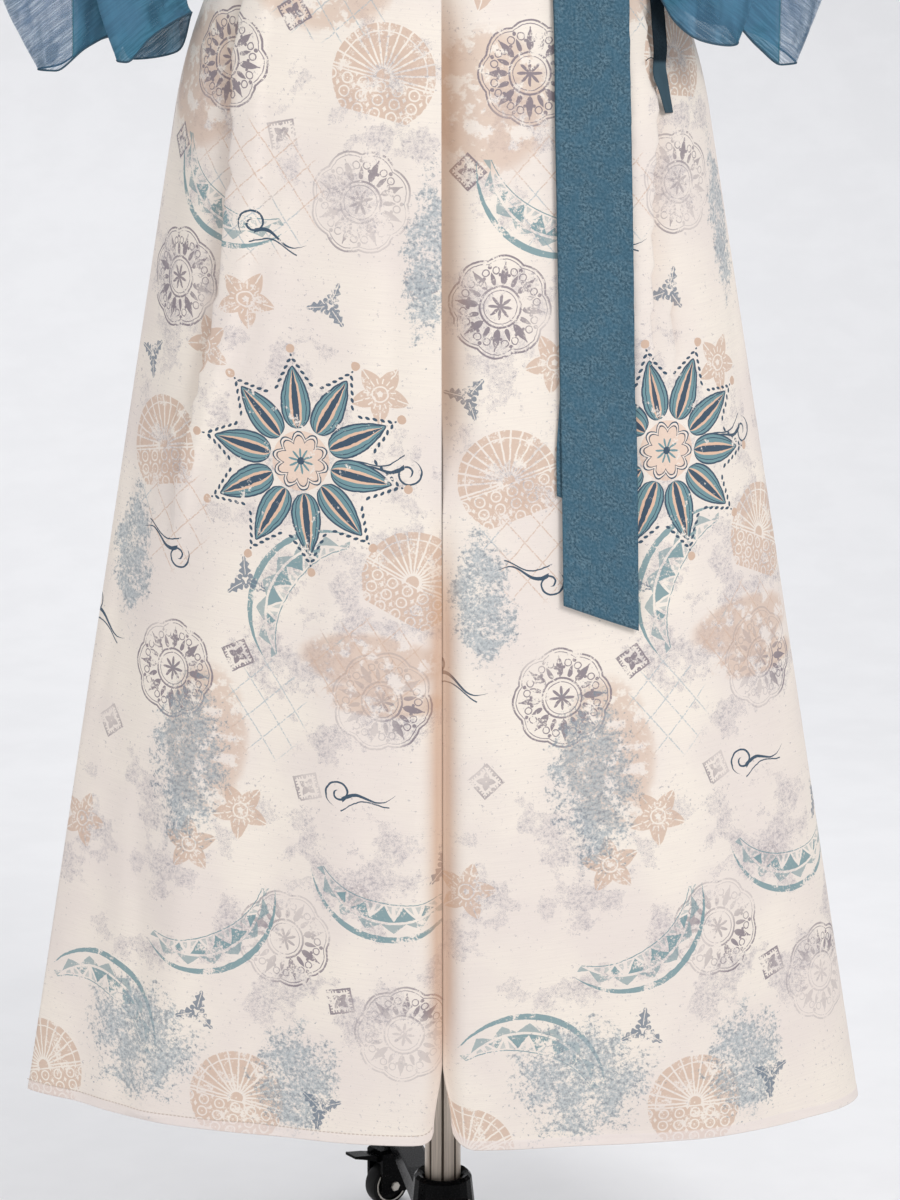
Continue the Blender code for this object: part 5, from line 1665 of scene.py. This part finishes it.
def jacquard():
    """Blue crepe with waves and clouds woven in, tone on tone, and a few pressed lines down it with a painted
    highlight.
    """
    made, tree, shader = new_material("Blue jacquard sash", 0.8, 0.22)
    at = cut_place(tree)
    u, v, _ = separate(at)
    crepe = noise_of(at, 0.5, 4.0, 0.72)
    mottle = noise_of(at, 0.075, 4.0, 0.65)
    warp = noise_of(at, 0.035, 2.0)
    ring = apart((u + warp * 22.0).folded(13.0), (v + 6.0).folded(9.5), 0.0, -3.0)
    waves = (ring.folded(1.55) < 0.62) & (warp > 0.46)
    blade = abs((u * 0.35 + v * 0.94 + warp * 60.0).folded(17.0) - 8.0) < 1.3
    woven = waves | (blade & (warp < 0.5))
    creases = (abs(u + 15.5 + warp * 2.0) < 0.55) | (abs(u + 11.0 - warp * 3.0) < 0.4)
    creases = creases | (abs(u - 17.0) < 0.35)
    colour = mixed(crepe.step(0.4, 0.6), SASH_DARK, SASH_LIGHT)
    colour = mixed(mottle.step(0.4, 0.6, 0.0, 0.6), colour, SASH_MOTTLE)
    colour = mixed(woven * 0.26, colour, SASH_WOVEN)
    # Painted highlight: the pressed lines are painted lighter
    colour = mixed(creases * 0.12, colour, SASH_CREASE_HIGHLIGHT)
    connect(colour, shader.inputs["Base Color"])
    bumped(shader, crepe + woven * 0.6 - creases * 0.4, 0.6, 0.0006)
    return made


# How far out each sleeve's seam lies, in millimetres, where its cloth goes from double to single
LEFT_SEAM = 282.0
RIGHT_SEAM = 255.5

CHIFFON_DARK = (0.036, 0.132, 0.198, 1)
CHIFFON_LIGHT = (0.072, 0.232, 0.34, 1)
CHIFFON_SINGLE = (0.13, 0.22, 0.38, 1)
CHIFFON_STREAK = (0.018, 0.056, 0.1, 1)
CHIFFON_SEAM = (0.02, 0.11, 0.14, 1)


def crinkled_chiffon():
    """Sheer blue cloth, crinkled in fine slanting lines that let more or less light by."""
    made, tree, shader = new_material("Blue crinkle chiffon", 0.7, 0.2)
    at = vector_op("MULTIPLY", object_place(tree), (1000.0, 1000.0, 1000.0))
    x, y, z = separate(at)
    bend = noise_of(at, 0.022, 2.0)
    slant = combine(x * 0.05, y * 0.05, z * 0.8 + abs(x) * 0.62 + bend * 9.0)
    lines = noise_of(slant, 0.85, 3.0, 0.62)
    streaks = noise_of(vector_op("MULTIPLY", at, (0.055, 0.055, 0.01)), 1.0, 2.0)
    broad = noise_of(at, 0.02, 3.0)
    seam_out = (x > 0.0) * (RIGHT_SEAM - LEFT_SEAM) + LEFT_SEAM
    near_cuff = z.step(1190.0, 1250.0, 1.0, 0.0)
    single = (abs(x) - seam_out).step(-0.4, 0.4) * near_cuff
    seam = (abs(abs(x) - seam_out) < 0.9) * near_cuff
    colour = mixed(lines.step(0.42, 0.58), CHIFFON_DARK, CHIFFON_LIGHT)
    colour = mixed(broad.step(0.4, 0.62, 0.0, 0.25) + single * 0.45, colour, CHIFFON_SINGLE)
    colour = mixed(streaks.step(0.5, 0.66, 0.0, 0.55) * (near_cuff * 0.8 + 0.2), colour,
                   CHIFFON_STREAK)
    colour = mixed(seam * 0.6, colour, CHIFFON_SEAM)
    connect(colour, shader.inputs["Base Color"])
    cover = 0.74 - single * 0.47 + lines.step(0.42, 0.58, 0.11, -0.08) + seam * 0.15
    cover += streaks.step(0.5, 0.66, 0.0, 0.22) * single
    connect(cover, shader.inputs["Alpha"])
    bumped(shader, lines, 0.45, 0.0006)
    return made


TEAL = (0.16, 0.28, 0.305, 1)
SLATE = (0.05, 0.085, 0.125, 1)
MAUVE = (0.225, 0.19, 0.215, 1)
TAN = (0.6, 0.43, 0.33, 1)
PEACH = (0.72, 0.48, 0.35, 1)
PATINA = (0.41, 0.462, 0.485, 1)
SLATE_BLUE = (0.2, 0.24, 0.275, 1)
GROUND = (0.8, 0.72, 0.65, 1)


def nearest(at, centres):
    """Distance, and angle plus the motif's own turn, from the nearest of some places, in millimetres."""
    best = offset = None
    for u, v, turn in centres:
        away = vector_op("DISTANCE", at, (u, v, 0.0), 1)
        local = vector_op("SUBTRACT", at, (u, v, -math.radians(turn)))
        if best is None:
            best, offset = away, local
            continue
        offset = mixed(away < best, offset, local, "VECTOR")
        best = best.least(away)
    x, y, turn = separate(offset)
    return best, x.angle_to(y) + turn


def spoke(radius, angle, count):
    """Place within the nearest of several equal spokes: along it, and off its middle line."""
    off = angle.folded(math.pi / count)
    return radius * off.cos(), radius * off.sin()


def pointed(along, start, end, half):
    """Half width of a petal with two pointed ends, at a place along it."""
    share = ((along - start) / (end - start)) | 0.0
    rest = (1.0 - share) | 0.0
    return share ** 0.5 * rest ** 0.9 * (2.49 * half)


def layered(parts):
    """Colour and cover of inks laid one on another."""
    cover, colour = parts[0]
    for mask, ink in parts[1:]:
        colour = mixed(mask, colour, ink)
        cover = cover | mask
    return colour, cover


def rosette(at):
    """Ten pointed petals round a ringed flower, inside a dotted border."""
    radius, angle = nearest(at, ROSETTES)
    along, off = spoke(radius, angle, 10)
    width = pointed(along, 25.0, 73.0, 11.5)
    petal = (off < width + 0.6) & (width > 0.05)
    fill = off < width - 0.8
    heart = off < width * 0.5 - 0.9
    core = off < width * 0.26 - 0.4
    vein = abs(off - width * 0.72) < 0.35
    lobe = radius - 17.0 - 5.5 * abs((angle * 5.0).cos())
    rings = (abs(lobe) < 0.6) | (abs(lobe + 3.0) < 0.5)
    flower = radius < 5.5 + 4.5 * (angle * 10.0).cos()
    centre = radius < 3.0
    border = off + (along - 80.0) * 0.62
    dots = (along.folded(2.4) ** 2.0 + border ** 2.0) < 2.3
    dots = dots & along.between(56.0, 82.0)
    tips = apart(along, off, 86.0, 0.0) < 3.4
    blush = radius < 23.0
    return layered([
        (blush * 0.55, PEACH), (petal, SLATE), (fill, TEAL), (vein & fill, SLATE), (heart, PEACH),
        (core, SLATE), (lobe.between(-1.8, 0.0) & (radius > 9.0), GROUND), (rings, SLATE), (flower, TEAL),
        (centre, SLATE), (dots, SLATE), (tips, TAN)])


def roundel(at):
    """A lobed medallion: a ring of eight bows round a star, with fleurons and curls between."""
    radius, angle = nearest(at, ROUNDELS)
    along, off = spoke(radius, angle, 8)
    rim = radius - 35.5 - 3.2 * abs((angle * 4.0).cos())
    rings = (abs(rim) < 0.75) | (abs(rim + 2.6) < 0.35)
    rings = rings | (abs(radius - 15.5) < 0.8) | (abs(radius - 12.6) < 0.35)
    star = radius < 6.0 + 3.6 * (angle * 8.0).cos()
    leaf = off < pointed(along, 17.0, 33.0, 2.7)
    bud = apart(along, off, 24.0, 3.4) < 1.3
    stem = (off < 0.45) & along.between(15.0, 34.0)
    side, out = spoke(radius, angle + math.pi / 8, 8)
    curl = apart(side, out, 27.5, 4.0)
    curls = abs(curl - 2.6) < 0.45
    dot = apart(side, out, 31.0, 0.0) < 1.5
    small = out < pointed(side, 17.0, 27.0, 1.8)
    return rings | star | leaf | bud | stem | curls | dot | small


def tile(at):
    """A small square tile, notched along its edges, with a four petalled flower."""
    radius, angle = nearest(at, TILES)
    along, off = spoke(radius, angle, 4)
    edge = (along + off) * 0.7071
    frame_line = edge.between(8.8, 10.2)
    notches = edge.between(7.2, 9.0) & ((along - off).folded(1.6) > 0.9)
    flower = off < pointed(along, 0.5, 7.5, 2.6)
    spots = apart(along, off, 5.4, 5.4) < 1.0
    return frame_line | notches | flower | spots


def fan(at):
    """A rayed shell over rows of small waves."""
    radius, angle = nearest(at, FANS)
    x, y = radius * angle.cos(), radius * angle.sin()
    ray = (angle.folded(math.pi / 26) * radius > 0.75) | (radius < 7.0)
    shell_part = (radius < 39.0) & (y > -2.0) & ray & ((radius < 5.0) | (radius > 7.0))
    shell_part = shell_part & (radius.between(32.5, 33.6) < 0.5)
    scale = apart(x.folded(6.5), (y + 18.0).folded(5.0), 0.0, 0.0)
    waves = (radius < 39.0) & (y < -3.2) & (y > -30.0) & (scale.folded(1.9) > 0.62)
    return shell_part | waves


def blossom(at):
    """A five petalled flower with parted petals and a notched heart."""
    radius, angle = nearest(at, BLOSSOMS)
    along, off = spoke(radius, angle, 5)
    wide = off < pointed(along, 2.0, 24.0, 7.4) - 0.5
    split = (off < 0.5) & (along > 14.0)
    heart = (radius < 6.4) & (radius > 5.2)
    hairs = (angle.folded(math.pi / 15) * radius < 0.5) & radius.between(8.0, 12.0)
    return wide & ((split | heart | hairs) < 0.5)


def scroll(at):
    """A curled cloud with a wave for its tail."""
    radius, angle = nearest(at, SCROLLS)
    x, y = radius * angle.cos(), radius * angle.sin()
    turns = (radius / 7.0 - angle / (2 * math.pi)).folded(0.5)
    curl = (turns < 0.11) & radius.between(2.6, 11.0)
    wave = abs(y + 7.0 - (x * 0.145).sin() * 4.2)
    tail = (wave < (46.0 - x) * 0.04) & x.between(2.0, 44.0)
    second = (abs(y + 12.2 - ((x - 5.0) * 0.135).sin() * 3.6) < 0.55) & x.between(0.0, 38.0)
    return curl | tail | second


def sprig(at):
    """Three notched leaves and two berries."""
    radius, angle = nearest(at, SPRIGS)
    along, off = spoke(radius, angle, 3)
    width = pointed(along, 1.5, 19.0, 5.0)
    leaf = off < width * ((along * 1.15).sin() * 0.25 + 0.78)
    vein = (off < 0.3) & (along > 4.0)
    side, out = spoke(radius, angle + math.pi / 3, 3)
    berry = apart(side, out, 5.0, 0.0) < 2.0
    return (leaf & (vein < 0.5)) | berry


def arc_band(at):
    """Part of a great ring: two rows of triangles over a crescent."""
    radius, angle = nearest(at, ARCS)
    bow = 1.0 - angle.cos()
    part = bow < 0.62
    inner = bow * 26.0 + 40.0
    tooth = angle.folded(math.pi / 18) * (18 / math.pi)
    first = radius.between(inner + 2.0, 55.0) & (tooth < (radius - inner - 2.0) / 12.0)
    second = radius.between(inner + 2.0, 55.0) & (tooth > (radius - inner) / 12.0 + 0.12)
    second = second & (tooth.folded(0.5) > 0.18)
    outer = radius.between(57.0, 64.0) & (tooth > (radius - 57.0) / 7.0)
    crescent = (radius > 67.0) & (radius < 72.0 - bow * 8.0)
    line = radius.between(inner, inner + 0.8)
    return (first | second * 0.45 | outer * 0.75 | crescent | line) & part


def patches(at, places):
    """1 in the middle of soft ellipses, 0 outside them."""
    total = None
    for u, v, wide, high in places:
        offset = vector_op("SUBTRACT", at, (u, v, 0.0))
        scaled = vector_op("MULTIPLY", offset, (1 / wide, 1 / high, 0.0))
        part = 1.0 - vector_op("DOT_PRODUCT", scaled, scaled, 1)
        total = part if total is None else total | part
    return total | 0.0


def lattice(u, v):
    """Thin crossed lines."""
    one = (u * 0.8 + v * 0.6).folded(9.0)
    two = (u * 0.7 - v * 0.72).folded(10.5)
    return (one < 0.5) | (two < 0.5)


# Where the motifs lie on the print: across and up in millimetres from the skirt's top, and their turn
ROSETTES = (
    (34, -462, 8),
)
ROUNDELS = (
    (-52, -168, 5), (92, -44, 12), (-36, -40, 20), (66, -262, 20), (-88, -338, 12), (-64, -642, 0),
    (112, -640, 10), (48, -842, 25), (150, -905, 0),
)
TILES = (
    (4, -128, 10), (38, -82, 18), (-100, -92, 6), (30, -14, 35), (2, -218, 30), (-104, -236, 5),
    (116, -318, 20), (-6, -620, 15), (58, -716, 25), (-128, -700, 8), (104, -800, 12), (98, -884, 30),
)
FANS = (
    (76, -168, 10), (-128, -34, 12), (160, -104, -16), (-92, -470, -14), (128, -545, 24), (18, -980, 6),
    (-168, -1000, -20),
)
BLOSSOMS = (
    (-18, -344, 10), (134, -84, 22), (-78, -98, 40), (-50, -384, 30), (-150, -786, 0), (4, -744, 20),
    (-36, -778, 50), (92, -404, 14),
)
SCROLLS = (
    (-16, -286, 8), (-66, -552, 190), (84, -716, -12), (-160, -610, 20), (118, -462, 165),
)
SPRIGS = (
    (-4, -560, 20), (60, -96, 80), (-70, -16, 15), (-118, -404, 75), (48, -342, 50), (172, -770, 10),
    (-20, -914, 40), (88, -975, 95),
)
ARCS = (
    (-30, -236, 120), (70, -580, -150), (-30, -812, 60), (130, -760, 95), (-120, -960, -70),
)
PATINA_PLACES = (
    (-44, -712, 46, 92), (2, -66, 26, 58), (-72, -950, 74, 64), (120, -300, 26, 84), (66, -955, 50, 60),
    (-120, -560, 34, 70),
)
MAUVE_PLACES = (
    (30, -50, 150, 70), (-6, -440, 150, 90), (60, -200, 80, 100), (-90, -270, 70, 150),
    (90, -830, 130, 120), (-60, -800, 140, 110), (150, -550, 70, 150), (60, -620, 90, 120),
)
TAN_PLACES = (
    (-60, -44, 60, 36), (110, -48, 50, 40), (24, -104, 62, 40), (-84, -186, 52, 60), (100, -610, 62, 24),
    (-30, -690, 40, 66), (110, -640, 54, 14),
)
LATTICE_PLACES = (
    (-20, -262, 62, 58), (98, -612, 52, 40), (-78, -520, 44, 50), (20, -660, 36, 44), (30, -120, 50, 30),
)


CREAM_COOL = (0.77, 0.69, 0.635, 1)
CREAM_WARM = (0.83, 0.755, 0.67, 1)
SLUB_TONE = (0.7, 0.62, 0.57, 1)
HAZE_TONE = (0.585, 0.525, 0.52, 1)
FLECK_TONE = (0.31, 0.285, 0.32, 1)
SPRIG_INK = (0.15, 0.19, 0.24, 1)
HEM_TONE = (0.76, 0.68, 0.655, 1)
# Tan-brown of the shade painted into the groove, under the lap and along the pleat edges
PAINTED_SHADE_TONE = (0.56, 0.33, 0.2, 1)


def printed_cloth():
    """Cream cloth with inks laid one on another, worn away in places, and shade painted into its folds."""
    made, tree, shader = new_material("Printed skirt cloth", 0.82, 0.25)
    at = cut_place(tree)
    wobble = noise_of(at, 0.18, 2.0)
    at = vector_op("ADD", at, combine(wobble * 1.6, wobble * -1.2, 0.0))
    u, v, _ = separate(at)

    worn = noise_of(at, 0.055, 6.0, 0.68)
    fine = noise_of(at, 0.55, 4.0, 0.7)
    ink = (worn * 0.62 + fine * 0.38).step(0.425, 0.485)
    keen = (worn * 0.75 + fine * 0.25).step(0.385, 0.425)
    broad = noise_of(vector_op("ADD", at, (900.0, 300.0, 0.0)), 0.0105, 2.0)
    strong = broad.step(0.4, 0.56, 0.3, 1.0)

    slub = noise_of(vector_op("MULTIPLY", at, (0.03, 1.1, 1.0)), 1.0, 3.0, 0.6)
    ground = mixed(broad.step(0.35, 0.65), CREAM_COOL, CREAM_WARM)
    ground = mixed(slub.step(0.38, 0.7, 0.0, 0.3), ground, SLUB_TONE)

    grain = noise_of(vector_op("ADD", at, (0.0, 0.0, 7.0)), 0.3, 6.0, 0.78)
    mauve_area = patches(at, MAUVE_PLACES)
    patchy = noise_of(vector_op("ADD", at, (40.0, 500.0, 3.0)), 0.022, 5.0, 0.62)
    soiled = mauve_area.step(0.0, 0.6) * patchy.step(0.46, 0.6)
    haze = (soiled * worn).step(0.1, 0.62, 0.0, 0.38)
    ground = mixed(haze, ground, HAZE_TONE)
    cracks = (abs(grain - 0.5) < 0.014) & (fine > 0.45)
    strewn = grain + soiled * 0.055 + patchy * 0.16
    flecks = strewn.step(0.69, 0.72) | (cracks & (soiled * worn > 0.22))
    ground = mixed(flecks * 0.6, ground, FLECK_TONE)

    tan_area = patches(at, TAN_PLACES).step(0.0, 0.45) * worn.step(0.42, 0.5)
    colour = mixed(tan_area * 0.62, ground, TAN)
    colour = mixed((fan(at) | blossom(at)) * ink * 0.8, colour, TAN)
    crossed = lattice(u, v) * patches(at, LATTICE_PLACES).step(0.0, 0.4)
    colour = mixed(crossed * fine.step(0.42, 0.5) * 0.75, colour,
                   mixed(broad.step(0.46, 0.5), TAN, PATINA))
    colour = mixed((roundel(at) | tile(at)) * ink * strong * 0.92, colour, MAUVE)
    colour = mixed(arc_band(at) * ink * 0.88, colour, TEAL)
    area = patches(at, PATINA_PLACES)
    spatter = worn * 0.45 + grain * 0.55
    blue = (area.step(0.0, 1.0, 0.0, 0.17) + spatter).step(0.575, 0.665)
    torn = (fine * 0.5 + spatter * 0.5).step(0.4, 0.52, 0.25, 0.8)
    blue = blue * torn * (area > 0.0)
    colour = mixed(blue, colour, mixed(grain.step(0.45, 0.62), PATINA, SLATE_BLUE))
    colour = mixed(scroll(at) * keen, colour, SLATE)
    colour = mixed(sprig(at) * ink * 0.85, colour, SPRIG_INK)
    motif, cover = rosette(at)
    colour = mixed(cover * keen, colour, motif)

    band = attribute(tree, "hem", "Fac")
    colour = mixed(band * 0.55, colour, HEM_TONE)
    # Painted shade: tan-brown darkening in the front groove, under the lap and along the pleat edges
    painted_shade = attribute(tree, "painted_shade", "Fac")
    colour = mixed(painted_shade ** 1.6 * 0.62, colour, PAINTED_SHADE_TONE)

    connect(colour, shader.inputs["Base Color"])
    shader.inputs["Sheen Weight"].default_value = 0.15
    threads = noise_of(vector_op("MULTIPLY", at, (0.1, 2.6, 1.0)), 1.0, 2.0)
    bumped(shader, threads + slub, 0.3, 0.0004)
    return made


def main():
    printed = printed_cloth()
    thread = plain("Hem thread")
    chiffon = crinkled_chiffon()
    rolled = plain("Rolled hem")
    brocade = jacquard()
    navy = ribbon()
    jersey = plain("Form cover")
    steel = fluted_steel()
    bases = [plain(name) for name in ("Black plastic", "Caster tread", "Zinc", "Neck cap")]
    for quarter in PLEAT_LINES:
        skirt_panel(quarter, printed, thread)
    waistband(printed)
    sash_wrap(brocade)
    sash_ends(brocade)
    tie(navy)
    for side in ("left", "right"):
        jacket_front(side, chiffon)
        sleeve(side, chiffon, rolled)
    jacket_back(chiffon)
    collar(brocade)
    dress_form(jersey)
    stand(steel, *bases)
    studio()


main()
